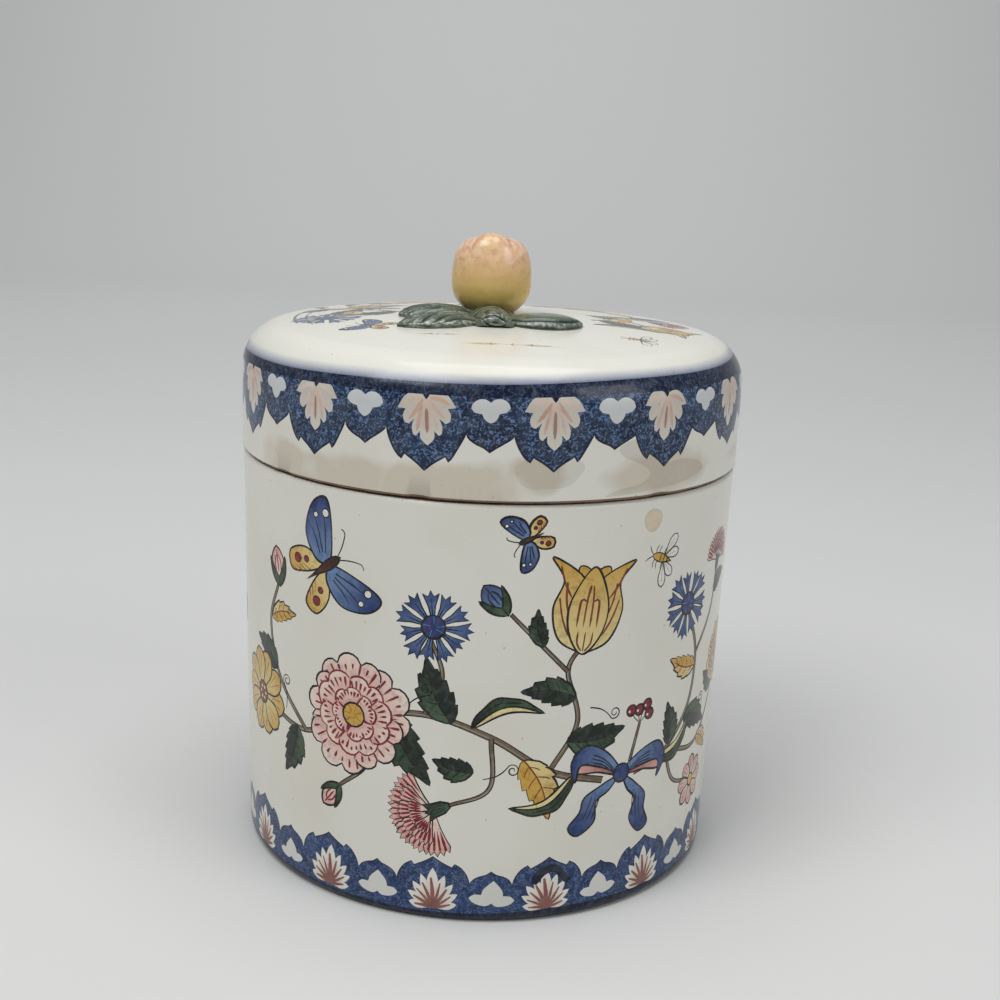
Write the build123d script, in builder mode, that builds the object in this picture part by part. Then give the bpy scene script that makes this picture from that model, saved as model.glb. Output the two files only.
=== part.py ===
from build123d import *
import os
from math import radians, sqrt, tan

os.makedirs("parts", exist_ok=True)

# A tin-glazed earthenware canister: a round jar, a cap lid that slips over the jar's collar, and on
# the lid a moulded fruit to lift it by, with leaves and a cut twig round its foot.
# Millimetres, +Z up. The origin is on the canister's axis, on the surface it stands on, and the
# twig's cut end faces -Y.

# Jar
outer_diameter = 160.0       # across the jar at the ledge that carries the lid
ledge_height = 130.0         # from the foot up to that ledge
wall_lean = 2.3              # the foot's radius is this much less than the ledge's
wall_thickness = 6.0
floor_thickness = 8.0        # from the surface it stands on to the inside floor
foot_ring_width = 9.0
foot_recess_depth = 2.0
foot_edge_radius = 3.0
foot_ring_edge_radius = 0.8
inside_floor_radius = 8.0
lip_radius = 1.6             # the ledge's rounded outer edge
collar_height = 12.0
collar_thickness = 4.0
collar_edge_radius = 1.5
neck_length = 14.0           # height over which the inside narrows from the wall to the collar
neck_radius = 5.0

# Lid
lid_overhang = 0.4           # the lid's radius is this much more than the ledge's
lid_height = 43.6            # from the rim to the top of the dome
lid_wall = 5.0
lid_top_thickness = 6.0
lid_shoulder_radius = 13.5
lid_rim_edge_radius = 0.8
dome_rise = 5.8              # how far the top's middle stands above its edge, before rounding
lid_seat_gap = 0.4           # glaze and grit between the ledge and the rim
collar_clearance = 1.2       # radial room between the collar and the lid

# Fruit
fruit_height = 24.0          # from the lid's top to the shoulder round the fruit's hollow
fruit_radius = 12.8
fruit_belly_height = 9.7     # where it is widest
fruit_seat_radius = 6.5
fruit_shoulder_radius = 7.0
fruit_offset = -1.6          # the fruit was stuck on a little to one side
calyx_radius = 3.0
calyx_depth = 3.0
lobe_count = 5
lobe_groove_radius = 1.3     # the grooves that part the lobes round the hollow
lobe_groove_dip = 32.0       # degrees that a groove slopes down towards the fruit's side
front_lobe_radius = 5.4      # the lobe at the front stands higher than the rest
front_lobe_reach = 4.6
front_lobe_rise = 1.8

# Twig and leaves
twig_reach = 33.0            # from the canister's axis to the twig's cut end
twig_end_width = 9.6
twig_root_width = 18.0
twig_rise = 3.6              # height of its back above the lid's top
twig_back_radius = 14.0
twig_cut_edge_radius = 0.8
ring_mark_half_width = 3.0   # the oval growth ring drawn into the cut end
ring_mark_half_height = 1.9
ring_mark_line = 0.7
ring_mark_depth = 0.6
ring_mark_drop = 2.5         # from the twig's back down to the mark's middle
leaf_crest = 3.6             # height of a leaf's middle above the lid
leaf_crown_radius = 42.0

# Sizes that follow from those
ledge_radius = outer_diameter / 2
foot_radius = ledge_radius - wall_lean
lid_radius = ledge_radius + lid_overhang
lid_bore_radius = lid_radius - lid_wall
collar_radius = lid_bore_radius - collar_clearance
collar_bore_radius = collar_radius - collar_thickness
collar_top = ledge_height + collar_height
lid_rim = ledge_height + lid_seat_gap
lid_top = lid_rim + lid_height
dome_radius = (lid_radius**2 + dome_rise**2) / (2 * dome_rise)


def wall_radius(height):
    """Outer radius of the jar's leaning wall."""
    return foot_radius + wall_lean * height / ledge_height


def dome_height(across, top=lid_top, radius=dome_radius):
    """Height of the lid's domed top at a distance from the axis."""
    return top - radius + sqrt(radius**2 - across**2)


def round_corners(corners):
    """Round the outline's corners, given as pairs of a corner and its radius."""
    for corner, radius in corners:
        fillet(vertices().sort_by_distance(corner)[0], radius)


# Jar: foot ring, leaning wall, ledge with a rounded lip, and the collar that the lid slips over
neck_bottom = ledge_height - neck_length
jar_corners = {
    "recess": (foot_radius - foot_ring_width, foot_recess_depth),
    "ring_inside": (foot_radius - foot_ring_width, 0),
    "foot": (foot_radius, 0),
    "lip": (ledge_radius, ledge_height),
    "ledge": (collar_radius, ledge_height),
    "collar_outside": (collar_radius, collar_top),
    "collar_inside": (collar_bore_radius, collar_top),
    "neck_top": (collar_bore_radius, ledge_height),
    "neck": (wall_radius(neck_bottom) - wall_thickness, neck_bottom),
    "floor": (wall_radius(floor_thickness) - wall_thickness, floor_thickness),
}
with BuildPart() as jar:
    with BuildSketch(Plane.XZ):
        with BuildLine():
            Polyline(
                (0, foot_recess_depth),
                *jar_corners.values(),
                (0, floor_thickness),
                close=True,
            )
        make_face()
        round_corners(
            (
                (jar_corners["ring_inside"], min(foot_ring_edge_radius, foot_recess_depth / 2)),
                (jar_corners["foot"], min(foot_edge_radius, foot_ring_width / 2)),
                (jar_corners["lip"], min(lip_radius, (ledge_radius - collar_radius) / 2)),
                (jar_corners["collar_outside"], min(collar_edge_radius, collar_thickness * 0.45)),
                (jar_corners["collar_inside"], min(collar_edge_radius, collar_thickness * 0.45)),
                (jar_corners["neck_top"], neck_radius),
                (jar_corners["neck"], neck_radius),
                (jar_corners["floor"], inside_floor_radius),
            )
        )
    revolve(axis=Axis.Z)


# Lid: a cap with an upright side, a rounded shoulder and a slightly domed top
def dome_cap_outline(radius, bottom, top, ball_radius, shoulder_radius):
    """Half outline of a cap with a domed top, from the axis to its upright side."""
    edge_height = dome_height(radius, top, ball_radius)
    halfway = radius / 2
    with BuildSketch(Plane.XZ) as outline:
        with BuildLine():
            Polyline((0, top), (0, bottom), (radius, bottom), (radius, edge_height))
            ThreePointArc(
                (radius, edge_height),
                (halfway, dome_height(halfway, top, ball_radius)),
                (0, top),
            )
        make_face()
        fillet(vertices().sort_by_distance((radius, edge_height))[0], shoulder_radius)
    return outline.sketch


lid_shell = dome_cap_outline(lid_radius, lid_rim, lid_top, dome_radius, lid_shoulder_radius)
lid_hollow = dome_cap_outline(
    lid_bore_radius,
    lid_rim,
    lid_top - lid_top_thickness,
    dome_radius - lid_top_thickness,
    max(lid_shoulder_radius - lid_wall, lid_wall / 2),
)
with BuildPart() as lid:
    add(lid_shell)
    revolve(axis=Axis.Z)
    add(lid_hollow)
    revolve(axis=Axis.Z, mode=Mode.SUBTRACT)
    rim_edges = lid.edges().group_by(Axis.Z)[0]
    fillet(rim_edges, min(lid_rim_edge_radius, lid_wall * 0.4))

# The ball that the lid's domed top is part of, to seat the knob's pieces on it
with BuildPart() as dome_ball:
    with Locations((0, 0, lid_top - dome_radius)):
        Sphere(dome_radius)

# Fruit: a squarish round body, grooved into lobes round the hollow at its top
fruit_axis = Axis((fruit_offset, 0, 0), (0, 0, 1))
seat_overlap = 1.0           # how far the fruit's outline starts below the dome, to be cut by it
fruit_seat = dome_height(fruit_seat_radius + abs(fruit_offset)) - seat_overlap
fruit_belly = lid_top + fruit_belly_height
fruit_shoulder = lid_top + fruit_height
calyx_edge = fruit_shoulder - 0.25 * calyx_depth
fruit_outline = {
    "seat": (fruit_seat_radius, fruit_seat),
    "lower_flank": (0.86 * fruit_radius, lid_top + 0.32 * fruit_belly_height),
    "belly": (fruit_radius, fruit_belly),
    "upper_flank": (0.93 * fruit_radius, fruit_belly + 0.58 * (fruit_shoulder - fruit_belly)),
    "shoulder": (fruit_shoulder_radius, fruit_shoulder),
    "calyx_brow": ((fruit_shoulder_radius + calyx_radius) / 2, fruit_shoulder + 0.1 * calyx_depth),
    "calyx": (calyx_radius, calyx_edge),
}
with BuildPart() as fruit_knob:
    with BuildSketch(Plane(origin=(fruit_offset, 0, 0), x_dir=(1, 0, 0), z_dir=(0, -1, 0))):
        with BuildLine():
            ThreePointArc(
                fruit_outline["seat"], fruit_outline["lower_flank"], fruit_outline["belly"]
            )
            ThreePointArc(
                fruit_outline["belly"], fruit_outline["upper_flank"], fruit_outline["shoulder"]
            )
            ThreePointArc(
                fruit_outline["shoulder"], fruit_outline["calyx_brow"], fruit_outline["calyx"]
            )
            Polyline(
                fruit_outline["calyx"],
                (0, fruit_shoulder - calyx_depth),
                (0, fruit_seat),
                fruit_outline["seat"],
            )
        make_face()
    revolve(axis=fruit_axis)
    groove_start = fruit_shoulder + fruit_shoulder_radius * tan(radians(lobe_groove_dip))
    with Locations((fruit_offset, 0, groove_start)):
        with PolarLocations(0, lobe_count, start_angle=-90 + 180 / lobe_count):
            with Locations(Location((0, 0, 0), (0, 90 + lobe_groove_dip, 0))):
                Cylinder(
                    lobe_groove_radius,
                    2 * fruit_radius,
                    align=(Align.CENTER, Align.CENTER, Align.MIN),
                    mode=Mode.SUBTRACT,
                )
    front_lobe_height = fruit_shoulder + front_lobe_rise - front_lobe_radius
    with Locations((fruit_offset, -front_lobe_reach, front_lobe_height)):
        Sphere(front_lobe_radius)
    add(dome_ball.part, mode=Mode.SUBTRACT)

# Twig: runs out from under the fruit to a cut end with its growth ring
seat_block_depth = 6.0       # how far a piece's block starts below the dome's top, to be cut by it
seat_block_height = 14.0
twig_root = -0.5 * fruit_seat_radius
twig_back = lid_top + twig_rise
with BuildPart() as twig:
    with BuildSketch(Plane.XY.offset(lid_top - seat_block_depth)):
        with BuildLine():
            Polyline(
                (-twig_end_width / 2, -twig_reach),
                (twig_end_width / 2, -twig_reach),
                (fruit_offset + twig_root_width / 2, twig_root),
                (fruit_offset - twig_root_width / 2, twig_root),
                close=True,
            )
        make_face()
    extrude(amount=seat_block_height)
    with Locations(Location((0, -twig_reach / 2, twig_back - twig_back_radius), (90, 0, 0))):
        Cylinder(twig_back_radius, 2 * twig_reach, mode=Mode.INTERSECT)
    fillet(twig.faces().sort_by(Axis.Y)[0].edges().sort_by(Axis.Z)[-1], twig_cut_edge_radius)
    with BuildSketch(Plane.XZ.offset(twig_reach)):
        with Locations((0, twig_back - ring_mark_drop)):
            Ellipse(ring_mark_half_width, ring_mark_half_height)
            Ellipse(
                ring_mark_half_width - ring_mark_line,
                ring_mark_half_height - ring_mark_line,
                mode=Mode.SUBTRACT,
            )
    extrude(amount=-ring_mark_depth, mode=Mode.SUBTRACT)
    add(dome_ball.part, mode=Mode.SUBTRACT)
    add(fruit_knob.part, mode=Mode.SUBTRACT)


# Leaves: pointed blades, crowned along the middle, that lie on the lid against the twig
def make_leaf(root, front, tip, back, neighbours):
    """A leaf from its root to its tip, through a point on its front edge and one on its back edge."""
    middle = ((root[0] + tip[0]) / 2, (root[1] + tip[1]) / 2)
    crest = dome_height(sqrt(middle[0] ** 2 + middle[1] ** 2)) + leaf_crest
    with BuildPart() as leaf:
        with BuildSketch(Plane.XY.offset(lid_top - seat_block_depth)):
            with BuildLine():
                ThreePointArc(root, front, tip)
                ThreePointArc(tip, back, root)
            make_face()
        extrude(amount=seat_block_height)
        with Locations((middle[0], middle[1], crest - leaf_crown_radius)):
            Sphere(leaf_crown_radius, mode=Mode.INTERSECT)
        add(dome_ball.part, mode=Mode.SUBTRACT)
        for neighbour in neighbours:
            add(neighbour, mode=Mode.SUBTRACT)
    return leaf


leaf_left_front = make_leaf(
    root=(-3, -24), front=(-16, -36.5), tip=(-29.5, -33), back=(-18, -19.5),
    neighbours=[twig.part, fruit_knob.part],
)
leaf_left_rear = make_leaf(
    root=(-5, -9), front=(-17, -21), tip=(-30.6, -11), back=(-19, -0.5),
    neighbours=[twig.part, fruit_knob.part, leaf_left_front.part],
)
leaf_right = make_leaf(
    root=(3, -25), front=(14, -32), tip=(27.4, -20), back=(17, -10.5),
    neighbours=[twig.part, fruit_knob.part],
)

jar.part.label = "jar"
lid.part.label = "lid"
fruit_knob.part.label = "fruit_knob"
twig.part.label = "twig"
leaf_left_front.part.label = "leaf_left_front"
leaf_left_rear.part.label = "leaf_left_rear"
leaf_right.part.label = "leaf_right"

export_step(jar.part, "parts/jar.step")
export_step(lid.part, "parts/lid.step")
export_step(fruit_knob.part, "parts/fruit_knob.step")
export_step(twig.part, "parts/twig.step")
export_step(leaf_left_front.part, "parts/leaf_left_front.step")
export_step(leaf_left_rear.part, "parts/leaf_left_rear.step")
export_step(leaf_right.part, "parts/leaf_right.step")
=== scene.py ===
import math
from collections import namedtuple
from functools import partial
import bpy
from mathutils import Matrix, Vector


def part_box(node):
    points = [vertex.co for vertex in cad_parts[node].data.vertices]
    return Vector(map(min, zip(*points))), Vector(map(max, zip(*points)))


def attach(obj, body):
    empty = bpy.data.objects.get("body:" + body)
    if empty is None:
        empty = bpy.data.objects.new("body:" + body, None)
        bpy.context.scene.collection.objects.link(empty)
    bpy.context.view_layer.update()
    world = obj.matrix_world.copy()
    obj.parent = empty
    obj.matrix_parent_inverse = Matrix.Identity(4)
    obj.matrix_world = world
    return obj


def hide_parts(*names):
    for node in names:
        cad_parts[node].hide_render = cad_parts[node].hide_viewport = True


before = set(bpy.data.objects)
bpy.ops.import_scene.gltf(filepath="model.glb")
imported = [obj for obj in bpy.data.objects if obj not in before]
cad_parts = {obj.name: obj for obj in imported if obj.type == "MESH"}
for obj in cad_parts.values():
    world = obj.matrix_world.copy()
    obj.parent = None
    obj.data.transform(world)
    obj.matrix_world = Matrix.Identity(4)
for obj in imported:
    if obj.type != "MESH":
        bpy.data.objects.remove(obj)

from types import SimpleNamespace

import bmesh
import bpy
import numpy as np
from bpy.props import FloatProperty, FloatVectorProperty, IntProperty, PointerProperty
from mathutils import Matrix, Vector
from mathutils.geometry import delaunay_2d_cdt

bl_info = {
    "name": "Faience canister",
    "version": (1, 0, 0),
    "blender": (4, 5, 0),
    "location": "3D View > Sidebar > Canister",
    "description": "A tin-glazed earthenware canister, painted by hand, with a moulded fruit on its lid",
    "category": "Add Mesh",
}

# Blender works in metres. The pictures and the outlines below are worked out in millimetres.
MM = 0.001


def srgb(hex_colour):
    """A hex colour as it is written, turned to Blender's linear colour."""
    parts = [int(hex_colour[at:at + 2], 16) / 255 for at in (1, 3, 5)]
    return tuple(p / 12.92 if p <= 0.04045 else ((p + 0.055) / 1.055) ** 2.4 for p in parts)


def in_millimetres(group):
    """The sizes of a group, by their names."""
    return SimpleNamespace(**{name: getattr(group, name) / MM for name in group.__annotations__})


def length(name, description, millimetres):
    return FloatProperty(
        name=name, description=description, default=millimetres * MM, min=0.0, unit="LENGTH", precision=4
    )


def colour(name, description, hex_colour):
    return FloatVectorProperty(
        name=name, description=description, default=srgb(hex_colour), min=0.0, max=1.0, subtype="COLOR"
    )


# Sizes and colours

class JarSizes(bpy.types.PropertyGroup):
    """Sizes of the turned jar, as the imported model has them."""

    foot_radius: length("Foot radius", "Outer radius where the jar stands", 77.7)
    ledge_radius: length("Ledge radius", "Outer radius of the ledge that carries the lid", 80.0)
    ledge_height: length("Ledge height", "Height of that ledge", 130.0)
    wall: length("Wall", "Thickness of the side", 6.0)
    floor_top: length("Floor", "Height of the inside floor", 8.0)
    foot_ring: length("Foot ring", "Width of the ring that the jar stands on", 9.0)
    recess: length("Recess", "Depth of the hollow inside the foot ring", 2.0)
    foot_edge: length("Foot edge", "Radius of the foot's rounded edge", 3.0)
    lip: length("Lip", "Radius of the ledge's rounded edge", 1.6)
    collar_radius: length("Collar radius", "Outer radius of the collar that the lid slips over", 74.2)
    collar_bore: length("Collar bore", "Inner radius of the collar", 70.2)
    collar_top: length("Collar top", "Height of the collar's top", 142.0)
    neck: length("Neck", "Height over which the inside narrows to the collar", 14.0)


class LidSizes(bpy.types.PropertyGroup):
    """Sizes of the turned lid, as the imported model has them."""

    radius: length("Radius", "Outer radius of the lid's upright side", 80.4)
    bore: length("Bore", "Inner radius of the side", 75.4)
    rim: length("Rim height", "Height of the lid's lower edge", 130.4)
    top: length("Top height", "Height of the dome's middle", 174.0)
    dome_rise: length("Dome rise", "How far the dome's middle stands above its edge", 5.8)
    shoulder: length("Shoulder", "Radius between the side and the dome", 13.5)
    top_wall: length("Top thickness", "Thickness of the domed top", 6.0)


class KnobSizes(bpy.types.PropertyGroup):
    """Sizes of the moulded fruit and the leaves round it."""

    fruit_radius: length("Fruit radius", "Radius at the fruit's belly", 12.8)
    leaf_crest: length("Leaf crest", "Height of a leaf's middle above the lid", 3.6)


PIGMENTS = {
    "ink": ("#0E0D0E", "Manganese black of the drawn lines"),
    "wine": ("#7E1B2A", "Dark red strokes in the pink flowers"),
    "rose": ("#D3A096", "Pink wash, where it is deep"),
    "blush": ("#E6D5C8", "Pink wash, where it is thin"),
    "white": ("#E6E3D8", "White left in the blue"),
    "yellow": ("#C79C41", "Antimony yellow, where it is deep"),
    "straw": ("#DDCD93", "Antimony yellow, where it is thin"),
    "rust": ("#74351E", "Iron red-brown"),
    "green": ("#14231A", "Copper green, where it is deep"),
    "moss": ("#3C5739", "Copper green, where it is thin"),
    "bark": ("#6E5C48", "Brown of the stems"),
    "cobalt": ("#23396E", "Cobalt blue, where it is deep"),
    "dark_blue": ("#223A58", "Cobalt blue of the lid's border, sponged on thickly"),
    "mid_blue": ("#264070", "Cobalt blue of the foot border"),
    "sky": ("#6C88B2", "Cobalt blue, where it is thin"),
    "navy": ("#0F172F", "Cobalt blue laid on twice"),
    "vein": ("#BE8A72", "Thin iron red of the veins"),
    "clay": ("#8E6F5A", "The fired clay, where the glaze is thin"),
}

# A flower's pigments: the thin wash, the deep wash and the strokes
PINKS = ("blush", "rose", "wine")
YELLOWS = ("straw", "yellow", "rust")
BLUES = ("sky", "cobalt", "navy")


class PigmentColours(bpy.types.PropertyGroup):
    """Colours that the canister is painted with."""

    __annotations__ = {
        name: colour(name.capitalize().replace("_", " "), use, hex_colour)
        for name, (hex_colour, use) in PIGMENTS.items()
    }


class GlazeColours(bpy.types.PropertyGroup):
    """Colours of the glazes and of the bare clay."""

    tin_white: colour("Tin white", "The opaque white glaze", "#DCDAD0")
    tin_warm: colour("Tin warm", "The white glaze where it lies thin over the clay", "#D3CCBB")
    stain: colour("Stain", "Pink-beige stains in the white glaze", "#BDAE98")
    # Darker than the fired clay alone, as painted shade in the chips' notches
    bare_clay: colour("Bare clay", "Clay in the chips of the lid's edge", "#8A6C56")
    fruit_red: colour("Fruit red", "Blush on the fruit's upper half", "#EBC4A0")
    fruit_yellow: colour("Fruit yellow", "The fruit's middle", "#E2BC72")
    fruit_olive: colour("Fruit olive", "The fruit's underside", "#CBB25C")
    leaf_green: colour("Leaf green", "Grey-green glaze on the leaves and the twig", "#566150")
    # Also the colour of the painted shade on the twig
    leaf_dark: colour("Leaf dark", "Glaze pooled in the veins, and the drawn lines", "#161D1B")
    # Also the colour of the painted highlights on the leaves and the twig
    leaf_light: colour("Leaf light", "Glaze run thin on the ridges", "#C4CABC")


class CanisterSettings(bpy.types.PropertyGroup):
    """All that a user would change."""

    jar: PointerProperty(type=JarSizes)
    lid: PointerProperty(type=LidSizes)
    knob: PointerProperty(type=KnobSizes)
    pigments: PointerProperty(type=PigmentColours)
    glazes: PointerProperty(type=GlazeColours)
    sides: IntProperty(name="Sides", description="Faces round a turned piece", default=192, min=48)
    border_repeats: IntProperty(
        name="Border repeats", description="Large pendants round the painted borders", default=14, min=6
    )


# Drawing in the flat. Points are complex numbers in millimetres.

def polar(radius, degrees):
    return radius * np.exp(1j * np.radians(degrees))


def smooth_line(points, spacing=1.15, closed=False):
    """A smooth curve through given points, with points of its own about that far apart."""
    p = np.asarray(points, complex)
    if closed:
        p = np.concatenate([p[-1:], p, p[:2]])
    else:
        p = np.concatenate([2 * p[:1] - p[1:2], p, 2 * p[-1:] - p[-2:-1]])
    parts = []
    for a, b, c, d in zip(p, p[1:], p[2:], p[3:]):
        t = np.linspace(0, 1, max(2, int(round(abs(c - b) / spacing))), endpoint=False)
        parts.append(
            0.5 * (2 * b + (c - a) * t + (2 * a - 5 * b + 4 * c - d) * t**2
                   + (3 * b - 3 * c + d - a) * t**3)
        )
    if not closed:
        parts.append(p[-2:-1])
    return np.concatenate(parts)


# shade is None, or the points between which the paint changes, and the pigment and strength at its end
Shape = namedtuple("Shape", "outline pigment strength shade sponge bare")


class Sheet:
    """A flat sheet of painted shapes, later shapes over earlier ones.

    A motif is drawn round 0. at() sets where it goes in its spray, and spread() where the spray goes."""

    def __init__(self, seed):
        self.shapes = []
        self.stains = []
        self.random = np.random.default_rng(seed)
        self.spread(0)
        self.at(0)

    def spread(self, middle, mirrored=False):
        self.middle, self.mirrored = complex(middle), mirrored

    def at(self, where, turn=0.0, flip=False):
        self.where, self.turn, self.flipped = complex(where), turn, flip
        return self

    def put(self, points):
        points = np.asarray(points, complex)
        if self.flipped:
            points = points.conj()
        points = self.where + points * polar(1, self.turn)
        if self.mirrored:
            points = -points.conj()
        return self.middle + points

    def fill(self, outline, pigment, strength=1.0, shade=None, sponge=0.0, bare=0.0):
        """Paint the inside of an outline. shade is (from, to, pigment, strength) where it changes.

        sponge says how strongly it is dabbed with a sponge, and bare how much clay shows."""
        if shade:
            shade = (*self.put(shade[:2]), shade[2], shade[3] if len(shade) > 3 else strength)
        self.shapes.append(Shape(self.put(outline), pigment, strength, shade, sponge, bare))

    def press(self, count, amount=0.16):
        """How the pressure on the brush changes along a stroke."""
        return 1 + amount * np.sin(0.31 * np.arange(count) + self.random.uniform(0, 2 * np.pi))

    def stroke(self, line, width=0.5, pigment="ink", taper=(0.4, 0.4), strength=1.0):
        """One brush stroke along a line, thinner at its ends and a little uneven."""
        line = np.asarray(line, complex)
        way = np.gradient(line)
        side = 1j * way / np.maximum(abs(way), 1e-9)
        along = np.linspace(0, 1, len(line))
        press = np.minimum(1, np.minimum(taper[0] + 5 * along, taper[1] + 5 * (1 - along)))
        half = side * width * press * self.press(len(line)) / 2
        self.fill(np.concatenate([line + half, (line - half)[::-1]]), pigment, strength)

    def outlined(self, outline, pigment, line=0.62, line_pigment="ink", **paint):
        """A filled shape with a brushed line round it."""
        outline = np.asarray(outline, complex)
        way = np.roll(outline, -1) - np.roll(outline, 1)
        area = np.sum((outline.conj() * np.roll(outline, -1)).imag)
        out = -1j * way / np.maximum(abs(way), 1e-9) * np.sign(area) * line / 2
        self.fill(outline + out * self.press(len(outline), 0.3), line_pigment)
        self.fill(outline - out * self.press(len(outline), 0.3), pigment, **paint)


# Motifs

def petal(long, wide, widest=0.62, blunt=0.5, count=13):
    """A petal from 0 out along the real axis, widest at that share of its length."""
    t = np.linspace(0, 1, count)
    swell = np.sin(np.pi * t ** (np.log(0.5) / np.log(widest)))
    edge = long * t + 0.5j * wide * swell ** np.where(t > widest, blunt, 0.9)
    return np.concatenate([edge, edge.conj()[::-1][1:-1]])


def fan_petal(long, spread, teeth):
    """A petal that widens to a toothed edge, spread degrees across, as a carnation's."""
    notch = 0.1
    r = np.linspace(0, 0.84, 6)
    side = long * polar(r, -0.5 * spread * (0.35 + 0.65 * (r / r[-1]) ** 0.7))
    a = np.linspace(-0.5, 0.5, 2 * teeth + 1)
    reach = long * (1 - notch * (np.arange(2 * teeth + 1) % 2 == 0)) * (1 - 0.35 * a**2)
    return np.concatenate([side, polar(reach, spread * a), side.conj()[::-1][:-1]])


def ruffled_petal(long, spread, lobes):
    """A broad petal, spread degrees across, with a softly lobed edge."""
    r = np.array([0, 0.25, 0.5, 0.72, 0.86])
    side = long * polar(r, -0.5 * spread * np.sin(0.5 * np.pi * (0.3 + 0.7 * r / r[-1])))
    a = np.linspace(-0.5, 0.5, 6 * lobes + 1)
    reach = long * (0.86 + 0.14 * abs(np.sin(np.pi * lobes * (a + 0.5))) ** 0.6) * (1 - 0.5 * a**2)
    return np.concatenate([side, polar(reach, spread * a), side.conj()[::-1][:-1]])


def leaf(sheet, long, wide, dark="green", light="moss", vein="ink"):
    """A toothed leaf from its stalk at 0 along the real axis, darker on one side of its rib."""
    teeth = 5
    bend = 0.09 * long

    def rib_at(share):
        return long * share + 1j * bend * np.sin(np.pi * share)

    def half_width(share):
        return wide / 2 * np.sin(np.pi * share**0.72) ** 0.8

    rib = rib_at(np.linspace(0, 1, 10))
    edges = []
    for side in (1, -1):
        points = [0]
        for k in range(teeth):
            for share, reach in ((0.15, 0.86), (0.62, 1.0), (0.98, 1.12), (1.02, 0.82)):
                at = min(0.98, (k + share) / teeth)
                across = bend * np.sin(np.pi * at) + side * (half_width(at) * reach)
                points.append(long * (at + 0.05 * (share > 0.9)) + 1j * across)
        edges.append(points)
    tip = [1.06 * long]
    outline = np.array(edges[0] + tip + edges[1][::-1][:-1])
    sheet.outlined(outline, light, shade=(0, long, dark))
    sheet.fill(np.concatenate([edges[1], tip, rib[::-1]]), dark)
    sheet.stroke(rib[:-1], 0.45, vein, taper=(1, 0.3))
    for k in range(1, teeth):
        along = (k - 0.35) / teeth
        base = rib_at(along)
        for side in (1, -1):
            half = half_width(along)
            end = base + 0.13 * long + 0.72j * side * half
            sheet.stroke(smooth_line([base, 0.4 * base + 0.6 * end + 0.1j * side * half, end]), 0.35, vein)


def blade(sheet, long=22.0, wide=5.0, bend=5.0):
    """A long folded leaf, dark on its near side with a strip of its pale back showing."""
    t = np.linspace(0, 1, 22)
    rib = long * t + 1j * bend * np.sin(np.pi * t)
    way = np.gradient(rib)
    side = 0.5j * wide * way / abs(way)
    body = np.sin(np.pi * t**0.8)
    near = rib + side * body * (1 + 0.12 * np.sin(6 * np.pi * t))
    far = rib - side * body**0.8
    fold = rib - 0.24 * side * body
    sheet.outlined(np.concatenate([near, far[::-1][1:-1]]), "straw")
    sheet.outlined(np.concatenate([near, fold[::-1][1:-1]]), "green", shade=(0, long, "moss"))
    sheet.stroke((near + fold)[2:-6] / 2, 0.4)


def stem(sheet, points, width, end_width):
    """A woody stem between two drawn lines."""
    line = smooth_line(points, 1.4)
    wide = np.linspace(width, end_width, len(line))
    way = np.gradient(line)
    side = 0.5j * way / abs(way)
    for extra, pigment in ((0.7, "ink"), (0.0, "bark")):
        half = side * (wide + extra)
        sheet.fill(np.concatenate([line + half, (line - half)[::-1]]), pigment)
    sheet.stroke((line + side * wide * 0.3)[3:-3], 0.25, strength=0.6)


def hatch(sheet, base, ends, start, pigment):
    """Brush strokes from near a petal's edge in towards its base."""
    for end in ends:
        inner = base + start * (end - base)
        sheet.stroke([end, (inner + end) / 2, inner], 0.8, pigment, taper=(0.9, 0.15))


def carnation(sheet, size=14.0, pinks=PINKS):
    """A carnation that opens along the real axis from its calyx at 0."""
    pale, deep, mark = pinks
    cup = 0.3 * size
    for reach, turns in ((1.0, (-62, -34, -8, 20, 48, 70)), (0.8, (-48, -16, 16, 44)), (0.58, (-28, 4, 32))):
        for turn in turns:
            way = polar(1, turn)
            tip = cup + size * reach * way
            sheet.outlined(cup + fan_petal(size * reach, 40, 5) * way, pale, 0.4, shade=(cup, tip, deep))
            ends = [cup + polar(0.88 * size * reach, turn + a) for a in (-12, -4, 4, 12)]
            hatch(sheet, cup + 0.1 * size * way, ends, 0.45, mark)
    half = [-0.02 + 0.05j, 0.12 + 0.13j, 0.34 + 0.15j, 0.5 + 0.2j, 0.42 + 0.05j]
    calyx = np.array(half + [0.52] + [p.conjugate() for p in half[::-1]])
    sheet.outlined(calyx * size, "moss", shade=(0, 0.5 * size, "green"))
    for k in (-1, 0, 1):
        sheet.stroke(size * np.array([0.06 + 0.03j * k, 0.2 + 0.06j * k, 0.36 + 0.07j * k]), 0.35)


def full_flower(sheet, size=15.0, pinks=PINKS, heart="yellow"):
    """A full open flower from the front, its lobed petals hatched from their edges inwards."""
    pale, deep, mark = pinks
    rings = ((5, 1.0, 92, 10, 3, "ink"), (5, 0.72, 86, 44, 2, mark), (4, 0.46, 96, 5, 2, mark))
    for count, reach, spread, start, lobes, line in rings:
        for k in range(count):
            turn = start + 360 * k / count + sheet.random.uniform(-7, 7)
            long = size * reach * sheet.random.uniform(0.9, 1.06)
            way = polar(1, turn)
            shape = ruffled_petal(long, spread, lobes) * way
            sheet.outlined(shape, deep, 0.62, line_pigment=line, shade=(0.35 * long * way, long * way, pale))
            for end in polar(0.86 * long, turn + spread * np.linspace(-0.38, 0.38, 8)):
                reach_in = sheet.random.uniform(0.62, 0.88)
                hatch(sheet, 0.12 * size * way, [end * sheet.random.uniform(0.94, 1.02)], reach_in, mark)
    sheet.outlined(polar(0.2 * size, np.arange(0, 360, 30)), heart)
    for turn in range(0, 357, 51):
        sheet.stroke([polar(0.05 * size, turn), polar(0.17 * size, turn)], 0.4, "rust")


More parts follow.
